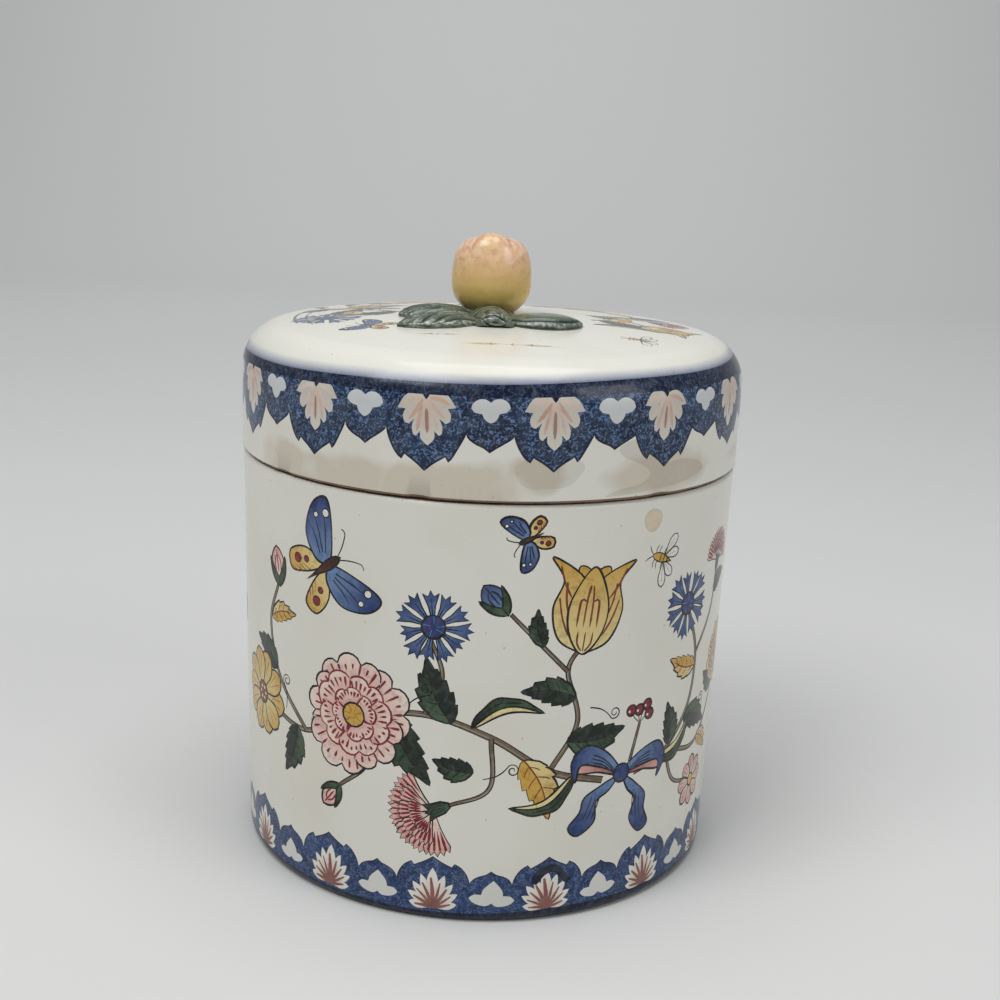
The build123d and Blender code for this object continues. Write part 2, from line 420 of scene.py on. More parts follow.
def tulip(sheet, size=20.0, yellows=YELLOWS):
    """A tulip along the real axis, with flamed petals."""
    pale, deep, mark = yellows
    flames = ((0.62 + 0.36j, 0.2 + 0.2j), (0.8 + 0.3j, 0.4 + 0.22j), (0.97 + 0.4j, 0.62 + 0.22j))
    back = np.array([0.1, 0.45 + 0.26j, 0.78 + 0.2j, 0.98 + 0.18j, 0.9 + 0.02j, 0.5 - 0.05j])
    front = np.array([0, 0.16 + 0.3j, 0.5 + 0.42j, 0.82 + 0.34j, 1.06 + 0.5j, 0.86 + 0.12j, 0.5 + 0.02j])
    middle = np.array([0, 0.24 + 0.2j, 0.6 + 0.22j, 0.98, 0.6 - 0.22j, 0.24 - 0.2j])
    for hand in (np.asarray, np.conj):
        sheet.outlined(smooth_line(hand(back) * size), deep)
    for hand in (np.asarray, np.conj):
        sheet.outlined(smooth_line(hand(front) * size), pale, shade=(0, size, deep))
        for outer, inner in flames:
            line = smooth_line(hand([outer, (outer + inner) / 2 + 0.02j, inner]) * size, 1.2)
            sheet.stroke(line, 0.65, mark, taper=(0.8, 0.15))
    sheet.outlined(smooth_line(middle * size, closed=True), pale, shade=(0, size, deep))
    for k in (-1.2, -0.4, 0.4, 1.2):
        line = [0.86 - 0.22 * abs(k) + 0.04j * k, 0.6 + 0.09j * k, 0.3 + 0.1j * k]
        sheet.stroke(smooth_line(size * np.array(line), 1.2), 0.65, mark, taper=(0.8, 0.15))
    for k in (-1, 0, 1):
        line = [0.04 + 0.02j * k, 0.12 + 0.08j * k, 0.26 + 0.09j * k]
        sheet.stroke(smooth_line(size * np.array(line), 1.2), 0.55, mark, taper=(0.8, 0.15))


def cornflower(sheet, blues=BLUES):
    """A cornflower from the front: forked rays round a dark heart."""
    pale, deep, mark = blues
    size, rays = 11, 11
    half = [0.18 + 0.03j, 0.6 + 0.1j, 0.98 + 0.24j, 0.88 + 0.08j]
    ray = np.array(half + [1.06] + [p.conjugate() for p in half[::-1]])
    for k in range(rays):
        turn = 360 * k / rays + sheet.random.uniform(-4, 4)
        long = polar(size * sheet.random.uniform(0.9, 1.05), turn)
        sheet.outlined(ray * long, pale, 0.35, shade=(0, long, deep))
        sheet.stroke([polar(0.3 * size, turn), polar(0.78 * size, turn)], 0.55, mark, taper=(1, 0.2))
    sheet.outlined(polar(0.32 * size, np.arange(0, 360, 20)), deep)
    for k in range(9):
        line = [polar(0.08 * size, 40 * k), polar(0.3 * size, 40 * k + 10)]
        sheet.stroke(line, 0.4, "wine" if k % 2 else "sky")


def daisy(sheet, size=11.0, yellows=YELLOWS, petals=9, heart="rust"):
    """A single flower from the front, with a dotted heart."""
    pale, deep, mark = yellows
    for k in range(petals):
        turn = 360 * k / petals + sheet.random.uniform(-4, 4)
        long = size * sheet.random.uniform(0.9, 1.06)
        way = polar(1, turn)
        sheet.outlined(petal(long, 0.56 * size, 0.64, 0.5, 14) * way, pale, shade=(0, long * way, deep))
        for a in (-7, 6):
            line = [polar(0.82 * long, turn + a), polar(0.4 * long, turn + 0.6 * a)]
            sheet.stroke(line, 0.45, mark, taper=(0.7, 0.2))
    sheet.outlined(polar(0.24 * size, np.arange(0, 360, 24)), heart)
    for turn in range(0, 360, 60):
        sheet.fill(polar(0.13 * size, turn) + polar(0.04 * size, np.arange(0, 360, 60)), "straw")


def bud(sheet, size=9.0, pinks=PINKS):
    """A closed bud along the real axis, between two long sepals."""
    pale, deep, mark = pinks
    sheet.outlined(petal(size, 0.62 * size, 0.55, 0.7), pale, shade=(0, size, deep))
    for k in (-0.14, 0.0, 0.14):
        line = [0.9 - abs(k) + 0.3j * k, 0.6 + 1j * k, 0.3 + 0.8j * k]
        sheet.stroke(smooth_line(size * np.array(line), 1.2), 0.55, mark, taper=(0.8, 0.2))
    for s in (1j, -1j):
        sepal = np.array([-0.06, 0.1 + 0.2 * s, 0.36 + 0.34 * s, 0.72 + 0.36 * s, 0.42 + 0.18 * s, 0.2])
        sheet.outlined(smooth_line(sepal * size), "moss", shade=(0, 0.7 * size, "green"))


def berries(sheet):
    """A spray of round berries on short stalks."""
    size, count = 1.8, 4
    for k in range(count):
        way = polar(size * (2.4 + 0.9 * (k % 2)), -50 + 100 * k / (count - 1))
        sheet.stroke(smooth_line([0, way * (0.5 + 0.08j), way], 1.2), 0.4, "bark", taper=(1, 0.8))
        sheet.outlined(way + polar(size, np.arange(0, 360, 24)), "wine")
        sheet.fill(way + polar(0.4 * size, 120) + polar(0.26 * size, np.arange(0, 360, 60)), "blush")


def tendril(sheet, long=9.0, curl=2.0):
    """A thin stalk that ends in a coil."""
    t = np.linspace(0, 1, 20)
    run = long * t + 0.12j * long * np.sin(np.pi * t)
    coil = long + 1j * curl + polar(curl * np.linspace(1, 0.25, 24), np.linspace(-90, 410, 24))
    sheet.stroke(np.concatenate([run[:-1], coil]), 0.4, taper=(1, 0.5))


def butterfly(sheet, size=14.0):
    """A butterfly from above, its head along the real axis."""
    hind = np.array([-0.05 + 0.05j, -0.3 + 0.5j, -0.72 + 0.62j, -0.86 + 0.34j, -0.6 + 0.16j, -0.3 + 0.05j])
    fore = np.array([0.12 + 0.05j, 0.5 + 0.55j, 0.66 + 1j, 0.3 + 1.06j, -0.12 + 0.72j, -0.16 + 0.2j])
    bars = ((0.1 + 0.2j, 0.5 + 0.86j), (0.04 + 0.24j, 0.26 + 0.9j), (-0.02 + 0.26j, 0.06 + 0.76j))
    spots = ((0.5 + 0.78j, 0.075), (0.28 + 0.86j, 0.055), (-0.6 + 0.42j, 0.09), (-0.4 + 0.3j, 0.06))
    for hand in (np.asarray, np.conj):
        sheet.outlined(smooth_line(hand(hind) * size, closed=True), "straw", shade=(0, -0.8 * size, "yellow"))
        fore_tip = hand(0.4 + 1j) * size
        sheet.outlined(smooth_line(hand(fore) * size, closed=True), "sky", shade=(0, fore_tip, "cobalt"))
        for a, b in bars:
            sheet.stroke(hand([a, (a + b) / 2 + 0.02, b]) * size, 0.45, "navy", taper=(1, 0.4))
        for spot, r in spots:
            ring = hand(spot) * size + polar(r * size, np.arange(0, 360, 36))
            sheet.outlined(ring, "wine" if spot.real < 0 else "white", 0.35)
        for k in range(4):
            base = -0.42 - 0.1 * k + 0.1j + 0.03j * k
            sheet.stroke(hand([base, base - 0.12 + 0.2j]) * size, 0.4, "rust", taper=(1, 0.2))
        feeler = hand([0.3 + 0.03j, 0.5 + 0.14j, 0.68 + 0.3j, 0.66 + 0.4j]) * size
        sheet.stroke(smooth_line(feeler), 0.35, taper=(1, 1))
    body = petal(0.95 * size, 0.17 * size, 0.7, 0.6) - 0.6 * size
    sheet.outlined(body, "rust", shade=(-0.6 * size, 0.35 * size, "ink"))


def bee(sheet, size=7.0):
    """A small striped insect, its head along the real axis."""
    for hand in (np.asarray, np.conj):
        for turn, reach in ((112, 1.0), (146, 0.8)):
            wing = petal(size * reach, 0.34 * size, 0.7, 0.5) * polar(1, turn)
            sheet.outlined(hand(wing), "white", 0.35, strength=0.4)
            sheet.stroke(hand([0, polar(0.8 * size * reach, turn)]), 0.25)
        sheet.stroke(smooth_line(hand([0.42, 0.62 + 0.12j, 0.74 + 0.28j]) * size), 0.3)
        for x in (-0.1, 0.15, 0.3):
            sheet.stroke(smooth_line(hand([x, x + 0.1 + 0.22j, x + 0.04 + 0.4j]) * size), 0.28)
    sheet.outlined(petal(0.95 * size, 0.3 * size, 0.6, 0.6) - 0.45 * size, "yellow", 0.4)
    for x in (-0.22, -0.05, 0.12):
        sheet.stroke([(x + 0.11j) * size, (x - 0.11j) * size], 0.5, taper=(0.8, 0.8))


def bow(sheet, size=16.0):
    """A tied ribbon, its loops to both sides of 0 and its tails below."""

    def across(points, side):
        """The points on one side of the bow or the other."""
        return size * np.array([side * p.real + 1j * p.imag for p in map(complex, points)])

    tail = (
        0, 0.2 - 0.3j, 0.42 - 0.5j, 0.38 - 0.86j, 0.66 - 1.12j,
        0.86 - 0.98j, 0.7 - 0.7j, 0.66 - 0.42j, 0.3 - 0.16j,
    )
    lining = (0.1, 0.5 + 0.42j, 0.98 + 0.36j, 0.92 + 0.02j, 0.5 + 0.02j)
    loop = (0, 0.36 + 0.36j, 0.8 + 0.5j, 1.04 + 0.2j, 0.9 - 0.16j, 0.86 + 0.14j, 0.5 + 0.12j)
    for side in (1, -1):
        far = size * side
        sheet.outlined(smooth_line(across(tail, side)), "sky", shade=(0, 0.6 * far - 1j * size, "cobalt"))
        for k in range(3):
            a = 0.36 + 0.08 * k - 0.4j
            sheet.stroke(smooth_line(across((a, a + 0.04 - 0.24j, a + 0.1 - 0.44j), side)), 0.45, "navy")
        sheet.outlined(smooth_line(across(lining, side), closed=True), "wine", shade=(0, 0.9 * far, "rose"))
        sheet.outlined(smooth_line(across(loop, side), closed=True), "sky", shade=(0, far, "cobalt"))
        for k in range(3):
            a, b = 0.16 + 0.06j - 0.03j * k, 0.66 + 0.34j - 0.07j * k
            sheet.stroke(smooth_line(across((a, (a + b) / 2 + 0.05j, b), side)), 0.45, "navy")
    sheet.outlined(polar(0.17 * size, np.arange(0, 360, 24)), "cobalt")
    for x in (-0.05, 0.05):
        sheet.stroke([(x + 0.1j) * size, (x - 0.1j) * size], 0.45, "navy")


# Pictures and borders

def wall_spray(s, middle, mirrored, pinks, yellows, blues):
    """A flowering spray tied with a bow. Places are millimetres along the wall and above the table."""
    s.spread(middle, mirrored)
    s.at(0)
    for points, width, end_width in (
        ([40 + 44j, 22 + 49j, 4 + 60j, -16 + 66j, -38 + 62j, -58 + 52j, -78 + 55j], 1.7, 1.0),
        ([-58 + 52j, -72 + 66j, -77 + 82j, -72 + 95j], 1.0, 0.7),
        ([-38 + 62j, -34 + 48j, -44 + 38j], 1.0, 0.7),
        ([-16 + 66j, -11 + 78j, -15 + 90j], 1.0, 0.7),
        ([22 + 49j, 30 + 64j, 26 + 80j, 30 + 88j], 1.2, 0.9),
        ([26 + 80j, 14 + 92j, 8 + 98j], 0.9, 0.6),
        ([4 + 60j, 4 + 44j, -8 + 38j], 1.0, 0.7),
        ([52 + 44j, 66 + 48j, 78 + 60j, 80 + 76j, 74 + 90j], 1.5, 0.8),
        ([66 + 48j, 84 + 44j, 96 + 52j, 104 + 66j], 1.2, 0.8),
        ([80 + 76j, 90 + 88j, 92 + 100j], 0.9, 0.6),
        ([66 + 48j, 72 + 36j, 84 + 32j], 0.9, 0.7),
        ([50 + 48j, 53 + 60j], 0.7, 0.5),
    ):
        stem(s, points, width, end_width)
    for where, turn, long, wide, flip in (
        (-8 + 64j, 112, 20, 10, False), (-26 + 65j, -60, 23, 11, True), (-62 + 52j, -112, 17, 9, False),
        (-73 + 68j, 155, 15, 8, True), (27 + 58j, 6, 19, 10, True), (29 + 72j, 172, 16, 8, True),
        (76 + 56j, -20, 17, 9, False), (101 + 60j, 150, 13, 7, False), (91 + 94j, 20, 12, 6, False),
        (-1 + 49j, 165, 12, 7, False), (18 + 88j, 100, 11, 5, False), (68 + 49j, 100, 14, 7, True),
    ):
        leaf(s.at(where, turn, flip), long, wide)
    for where, turn, long, wide in (
        (-46 + 58j, 60, 15, 7), (-76 + 84j, 15, 13, 6), (14 + 53j, -66, 20, 10),
        (80 + 72j, 160, 15, 7), (88 + 46j, -35, 13, 6),
    ):
        leaf(s.at(where, turn), long, wide, dark="yellow", light="straw", vein="rust")
    for where, turn, flip in ((30 + 47j, 205, False), (60 + 46j, 28, True), (-2 + 63j, 12, False)):
        blade(s.at(where, turn, flip))
    for where, turn, flip in (
        (-22 + 67j, 35, False), (-68 + 56j, 100, True), (34 + 68j, -30, False), (92 + 50j, 100, False),
        (2 + 47j, 30, True),
    ):
        tendril(s.at(where, turn, flip))
    daisy(s.at(-84 + 56j), 15, yellows, petals=10)
    full_flower(s.at(-39 + 62j, 20), 19, pinks)
    tulip(s.at(30 + 85j, 84), 27, yellows)
    cornflower(s.at(-14 + 93j), blues)
    carnation(s.at(-8 + 38j, 205), 15, pinks)
    bud(s.at(-44 + 38j, 230), 10, pinks)
    bud(s.at(-71 + 95j, 100), 12, pinks)
    bud(s.at(7 + 98j, 130), 11, blues)
    full_flower(s.at(104 + 70j, 40), 12, yellows, heart="rust")
    cornflower(s.at(72 + 94j), blues)
    carnation(s.at(92 + 100j, 80), 11, pinks)
    daisy(s.at(86 + 31j), 9, pinks, petals=8, heart="yellow")
    bow(s.at(47 + 45j, -8), 18)
    berries(s.at(53 + 60j, 80))
    butterfly(s.at(-49 + 106j, 35), 17)
    butterfly(s.at(12 + 120j, 205), 8)
    bee(s.at(57 + 111j, 160), 9)
    s.spread(0)
    s.at(0)


def waver(sheet, around, across, amounts):
    """An uneven line round a turned piece, across long, that meets itself again."""
    turn = around * 2 * np.pi / across
    return sum(
        amount * np.sin(k * turn + sheet.random.uniform(0, 2 * np.pi)) for k, amount in enumerate(amounts, 1)
    )


def closed_line(sheet, line, across, width, pigment):
    """A line right round a turned piece. It is carried on past the seam so that its two ends meet."""
    line = np.concatenate([line[-4:-1] - across, line, line[1:4] + across])
    way = np.gradient(line)
    side = 0.5j * width * way / abs(way)
    sheet.fill(np.concatenate([line + side, (line - side)[::-1]]), pigment)


def pendant_edge(size, reach, spikes, bulge):
    """The left half of a pendant's edge, from its valley to its tip, reach below the valley.

    bulge is how far its side swells out, as a share of size."""
    if not spikes:
        swell = [
            -0.82 * size - (0.2 + 2 * bulge) * 1j * reach,
            -0.54 * size - (0.46 + 1.8 * bulge) * 1j * reach,
            -0.22 * size - 0.76j * reach,
        ]
        return smooth_line([-size, *swell, -1j * reach], 1.2)
    spike = -0.6 * size - 0.74j * reach
    notch = -0.52 * size - 0.6j * reach
    side = [-(0.84 + bulge) * size - 0.3j * reach, -(0.69 + bulge) * size - 0.58j * reach]
    outer = smooth_line([-size, *side, spike], 1.2)
    tip = smooth_line([notch, -0.3 * size - 0.74j * reach, -0.12 * size - 0.88j * reach, -1j * reach], 1.2)
    return np.concatenate([outer[:-1], [spike], tip])


def both_halves(pieces, scale=1.0):
    """A closed outline from its half above the real axis, given as smooth pieces between corners."""
    half = np.concatenate([smooth_line(piece, 1.0)[:-1] for piece in pieces] + [pieces[-1][-1:]]) * scale
    return np.concatenate([half, half.conj()[::-1][1:-1]])


# Ornaments in the blue, in millimetres: along the pendant, and 1j across it
SHELL = (
    [0, -0.9 + 2.2j, -1.0 + 4.3j, 0.1 + 6.3j, 3.2 + 8.3j],
    [3.2 + 8.3j, 3.5 + 6.0j],
    [3.5 + 6.0j, 5.2 + 6.8j, 7.1 + 6.4j, 7.6 + 5.2j],
    [7.6 + 5.2j, 6.2 + 3.5j],
    [6.2 + 3.5j, 8.2 + 4.3j, 10.3 + 4.1j, 10.9 + 3.2j],
    [10.9 + 3.2j, 9.6 + 2.0j],
    [9.6 + 2.0j, 11.5 + 2.0j, 12.8 + 1.0j, 13.6],
)
SHELL_VEINS = (
    [0.6 + 1.2j, 0.8 + 3.8j, 2.4 + 6.6j],
    [0.9 + 0.8j, 3.6 + 2.7j, 6.4 + 5.0j],
    [1.0 + 0.4j, 5.0 + 1.8j, 9.6 + 3.0j],
)
HEART = (
    [0.4, -0.6 + 1.4j, -0.7 + 3.6j, 0.5 + 5.5j, 2.1 + 6.1j],
    [2.1 + 6.1j, 3.4 + 4.9j, 3.9 + 2.7j],
    [3.9 + 2.7j, 5.3 + 2.1j, 6.4 + 1.0j, 6.8],
)
CLOVER = (
    [0.9, -0.2 + 1.7j, 0.1 + 4.6j, 1.0 + 6.6j, 2.3 + 7.7j],
    [2.3 + 7.7j, 3.6 + 6.2j, 3.7 + 3.7j],
    [3.7 + 3.7j, 5.6 + 3.2j, 7.4 + 1.7j, 9.0],
)
SHELL_NOTCH = ([-0.9, -0.3 + 0.9j, 0.9],)


def shell(sheet):
    """The leaf-like shell of the lid's border, left pale in the blue, with thin streaks."""
    outline = both_halves(SHELL, sheet.random.uniform(0.98, 1.05))
    sheet.fill(outline, "clay", 0.36, shade=(2, 14, "clay", 0.2))
    for line in SHELL_VEINS:
        for hand in (np.asarray, np.conj):
            strength = sheet.random.uniform(0.3, 0.8)
            sheet.stroke(smooth_line(hand(line), 1.6), 1.1, "vein", (0.6, 0.3), strength)
    sheet.stroke(smooth_line([1.0, 5.0, 9.8], 1.6), 2.4, "vein", (0.7, 0.4), 0.5)
    end = 10.6 + sheet.random.uniform(-1, 0.4)
    sheet.stroke(smooth_line([3.4, 6.0, end], 1.6), 0.9, "rust", (0.5, 0.4), 0.75)
    sheet.fill(both_halves(SHELL_NOTCH), "navy")


def palmette(sheet):
    """The upright palmette of the foot border: white lobes with a red-brown streak on each."""
    long = 13.1
    lobes = ((0, 1.0), (19, 0.87), (38, 0.78), (58, 0.7), (80, 0.58))
    # A lobe to each side, but the middle one only once
    for turn, reach in lobes[::-1]:
        for way in {turn, -turn}:
            tip = long * reach * polar(1, way)
            wide = (3.6 if turn == 0 else 2.7) * sheet.random.uniform(0.9, 1.08)
            shape = petal(long * reach, wide, 0.6, 0.85, 11) * polar(1, way)
            sheet.fill(shape, "rose", 0.8, shade=(0.2 * tip, 0.8 * tip, "white", 0.25))
    for turn, reach in lobes:
        for way in {turn, -turn}:
            line = polar(long * reach * np.array([0.02, 0.4, 0.75]), way + np.array([0, 0, 3]))
            pigment, width = ("wine", 1.5) if turn == 0 else ("rust", 1.0)
            sheet.stroke(line, width, pigment, (1, 0.5), 0.9)
    sheet.fill(polar(0.9, np.arange(0, 360, 40)) + 0.6, "wine", 0.9)


def pendant_border(s, start, across, repeats, valley, hang, edge, lean=0.0, **look):
    """A border of large and small pendants round a turned piece, hanging down or, with hang 1, standing up.

    start is the border's left end, in a valley. valley is the height of the valleys, and edge holds the
    heights of the border's other side at even steps round the piece. lean lifts the border on the right
    and drops it on the left."""
    repeat = across / repeats
    large, small = 0.63 * repeat / 2, 0.37 * repeat / 2
    chain = [np.array([start + 1j * valley])]
    motifs = []
    for k in range(repeats):
        for half, reach, spikes in ((large, look["large_reach"], True), (small, look["small_reach"], False)):
            middle = chain[-1][-1].real + half
            lift = lean * np.sin(middle / look["radius"])
            sides = [
                pendant_edge(half, reach * s.random.uniform(0.93, 1.07), spikes, bulge)
                for bulge in look["bulges"]
            ]
            sides[1] = -sides[1].conj()
            sides[1] = sides[1].real + 1j * sides[1].imag * sides[0][-1].imag / sides[1][-1].imag
            shape = np.concatenate([sides[0], sides[1][::-1][1:]])
            tilt = s.random.uniform(-0.6, 0.6)
            last = k == repeats - 1 and not spikes
            ends = np.linspace(0, 0 if last else tilt, len(shape))
            ends = ends + lift * np.sin(np.linspace(0, np.pi, len(shape))) ** 0.5
            outline = middle + shape.real + 1j * (valley + ends - hang * shape.imag)
            outline[0] = chain[-1][-1]
            chain.append(outline[1:])
            motifs.append((middle, lift, spikes))
    chain = np.concatenate(chain)
    chain[-1] = start + across + 1j * valley
    base = np.linspace(start + across, start, len(edge)) + 1j * edge[::-1]
    s.fill(np.concatenate([chain, base]), look["pigment"], 1.0, sponge=look["sponge"])
    closed_line(s, chain, across, look["edge_line"], "navy")
    for middle, lift, spikes in motifs:
        base = look["palmette_base"] if spikes else look["trefoil_base"]
        s.at(middle + s.random.uniform(-0.4, 0.4) + 1j * (base + lift), 90 * hang + s.random.uniform(-4, 4))
        if spikes:
            look["palmette"](s)
        else:
            size = look["trefoil_size"] * s.random.uniform(0.9, 1.08)
            s.fill(both_halves(look["trefoil"], size), "sky", look["trefoil_tint"])
    s.at(0)


# Turning

def arc(centre, radius, start, end, step=9.0):
    """Points and outward directions along an arc, its ends in degrees, as complex numbers."""
    turns = np.linspace(start, end, max(2, int(abs(end - start) / step) + 1))
    ways = polar(1, turns) * (1 if end > start else -1)
    return centre + polar(radius, turns), ways


def rounded(corners):
    """Points and outward directions along an outline through corners (across, up, radius).

    The outline runs with the clay on its left."""
    spots = [complex(across, up) for across, up, radius in corners]
    line, ways = [], []
    for k, spot in enumerate(spots):
        before = (spot - spots[k - 1]) / abs(spot - spots[k - 1]) if k else None
        after = (spots[k + 1] - spot) / abs(spots[k + 1] - spot) if k + 1 < len(spots) else None
        if before is None or after is None:
            line.append([spot])
            ways.append([-1j * (before or after)])
            continue
        turn = np.degrees(np.angle(after / before))
        radius = corners[k][2]
        side = 1j if turn > 0 else -1j
        start = spot - before * radius * math.tan(math.radians(abs(turn)) / 2)
        centre = start + side * before * radius
        first = np.degrees(np.angle(start - centre))
        points, outward = arc(centre, radius, first, first + turn)
        line.append(points)
        ways.append(outward)
    return np.concatenate(line), np.concatenate(ways)


class Skin:
    """The outside of a turned piece, laid flat: u round it from the front to the right, v along its
    outline, in millimetres. v is the height where the side is upright."""

    def __init__(self, line, ways, radius, height_from, bite_edge=None):
        """height_from is the point of the outline from which v is the height, and bite_edge the
        height of the rim, where it has chips."""
        steps = np.concatenate([[0], np.cumsum(abs(np.diff(line)))])
        self.line, self.ways, self.radius, self.bite_edge = line, ways, radius, bite_edge
        self.along = steps - steps[height_from] + line[height_from].imag
        self.across = 2 * np.pi * radius

    def place(self, flat):
        """Points of the skin, and the way out from it, for points of the flat drawing."""
        spot = np.interp(flat.imag, self.along, self.line)
        way = np.interp(flat.imag, self.along, self.ways)
        turn = np.exp(1j * (flat.real / self.radius - np.pi / 2))
        out = way.real * turn
        plan = spot.real * turn
        ways = np.stack([out.real, out.imag, way.imag], 1)
        return np.stack([plan.real, plan.imag, spot.imag], 1), ways / np.linalg.norm(ways, axis=1)[:, None]

    def lattice(self, start, sides):
        """Rows and columns of points that the flat drawing needs so as to lie round."""
        spacing = 6.0
        columns = start + self.across * np.arange(sides + 1) / sides
        rows = [self.along[0]]
        for a, b in zip(self.along, self.along[1:]):
            count = max(1, int(round((b - a) / spacing)))
            rows.extend(a + (b - a) * np.arange(1, count + 1) / count)
        keep = [rows[0]] + [b for a, b in zip(rows, rows[1:]) if b - a > 0.01]
        return columns, np.array(keep)


def inside(outline, spots):
    """Which spots lie inside an outline, by how often it winds round them."""
    ends = np.roll(outline, -1)
    x, y = spots.real[:, None], spots.imag[:, None]
    up = (outline.imag <= y) & (ends.imag > y)
    down = (outline.imag > y) & (ends.imag <= y)
    run = ends - outline
    left = run.real * (y - outline.imag) > run.imag * (x - outline.real)
    return (up & left).sum(1) != (down & ~left).sum(1)


# Millimetres: points of a drawing that are nearer than that are taken as one, and the corners of its plane
TOUCHING = 0.01
FAR = 1000


def cut_out(shapes, points, edges, keep):
    """Cut the drawing's plane along the shapes' outlines, and keep the triangles whose middles keep() takes.

    Returns corners, triangles, and each triangle's topmost shape."""
    points = list(points)
    edges = list(edges)
    for shape in shapes:
        count = len(shape.outline)
        first = len(points)
        points.extend(shape.outline)
        edges.extend((first + k, first + (k + 1) % count) for k in range(count))
    points.extend(polar(FAR, np.arange(45, 360, 90)))
    flat = [Vector((p.real, p.imag)) for p in points]
    corners, _, triangles, _, _, _ = delaunay_2d_cdt(flat, edges, [], 0, TOUCHING, False)
    corners = np.array([complex(*c) for c in corners])
    triangles = np.array(triangles)
    triangles = triangles[keep(corners[triangles].mean(1))]
    used, triangles = np.unique(triangles, return_inverse=True)
    corners, triangles = corners[used], triangles.reshape(-1, 3)
    middles = corners[triangles].mean(1)
    top = np.full(len(triangles), -1)
    order = np.argsort(middles.real)
    sorted_u = middles.real[order]
    for k, shape in enumerate(shapes):
        outline = shape.outline
        low, high = np.searchsorted(sorted_u, (outline.real.min(), outline.real.max()))
        near = order[low:high]
        v = middles.imag[near]
        near = near[(v > outline.imag.min()) & (v < outline.imag.max())]
        top[near[inside(outline, middles[near])]] = k
    return corners, triangles, top


def paint(mesh, sheet, corners, triangles, top, pigments):
    """Colour the corners of the mesh's triangles with what is on top there.

    The attribute pigment holds the colour and how strongly it covers. The attribute finish holds how
    much it was sponged on, how bare the clay is and how stained the glaze is."""
    shapes = sheet.shapes
    table = [(*getattr(pigments, shape.pigment), shape.strength) for shape in shapes]
    table = np.array(table + [(0, 0, 0, 0)])
    finish = np.array([(shape.sponge, shape.bare) for shape in shapes] + [(0, 0)])
    colours = np.repeat(table[top][:, None], 3, 1)
    order = np.argsort(top, kind="stable")
    starts = np.searchsorted(top[order], np.arange(len(shapes) + 1))
    for k, shape in enumerate(shapes):
        if shape.shade is None:
            continue
        first, last, pigment, strength = shape.shade
        rows = order[starts[k]:starts[k + 1]]
        run = last - first
        share = ((corners[triangles[rows]] - first) * np.conj(run)).real / abs(run) ** 2
        share = np.clip(share, 0, 1)[..., None]
        end = np.array((*getattr(pigments, pigment), strength))
        colours[rows] = table[k] * (1 - share) + end * share
    mesh.attributes.new("pigment", "FLOAT_COLOR", "CORNER").data.foreach_set("color", colours.ravel())
    extra = np.zeros((len(triangles), 3, 4))
    extra[..., :2] = finish[top][:, None]
    for middle, wide, high, strength in sheet.stains:
        off = corners - middle
        stain = strength * np.exp(-(((off.real / wide) ** 2 + (off.imag / high) ** 2) ** 2))
        extra[..., 2] += stain[triangles]
    extra[..., 2] = np.clip(extra[..., 2], 0, 1)
    mesh.attributes.new("finish", "FLOAT_COLOR", "CORNER").data.foreach_set("color", extra.ravel())


def new_mesh(name, places, triangles, ways):
    """A mesh in metres, with the way out from the glaze kept on its points."""
    mesh = bpy.data.meshes.new(name)
    mesh.from_pydata((places * MM).tolist(), [], triangles.tolist())
    mesh.attributes.new("way_out", "FLOAT_VECTOR", "POINT").data.foreach_set("vector", ways.ravel())
    return mesh


def cells_uv(mesh, values):
    """Keep the places of all corners as the map that the look is baked to."""
    layer = mesh.uv_layers.new(name="OFBake")
    layer.uv.foreach_set("vector", np.asarray(values, np.float32).ravel())


def in_cell(share, cell):
    """Places from 0 to 1 both ways, as complex numbers, put into a cell (left, low, right, high)."""
    left, low, right, high = cell
    gap = 0.003
    across = left + gap + (right - left - 2 * gap) * share.real
    up = low + gap + (high - low - 2 * gap) * share.imag
    return np.stack([across, up], -1)


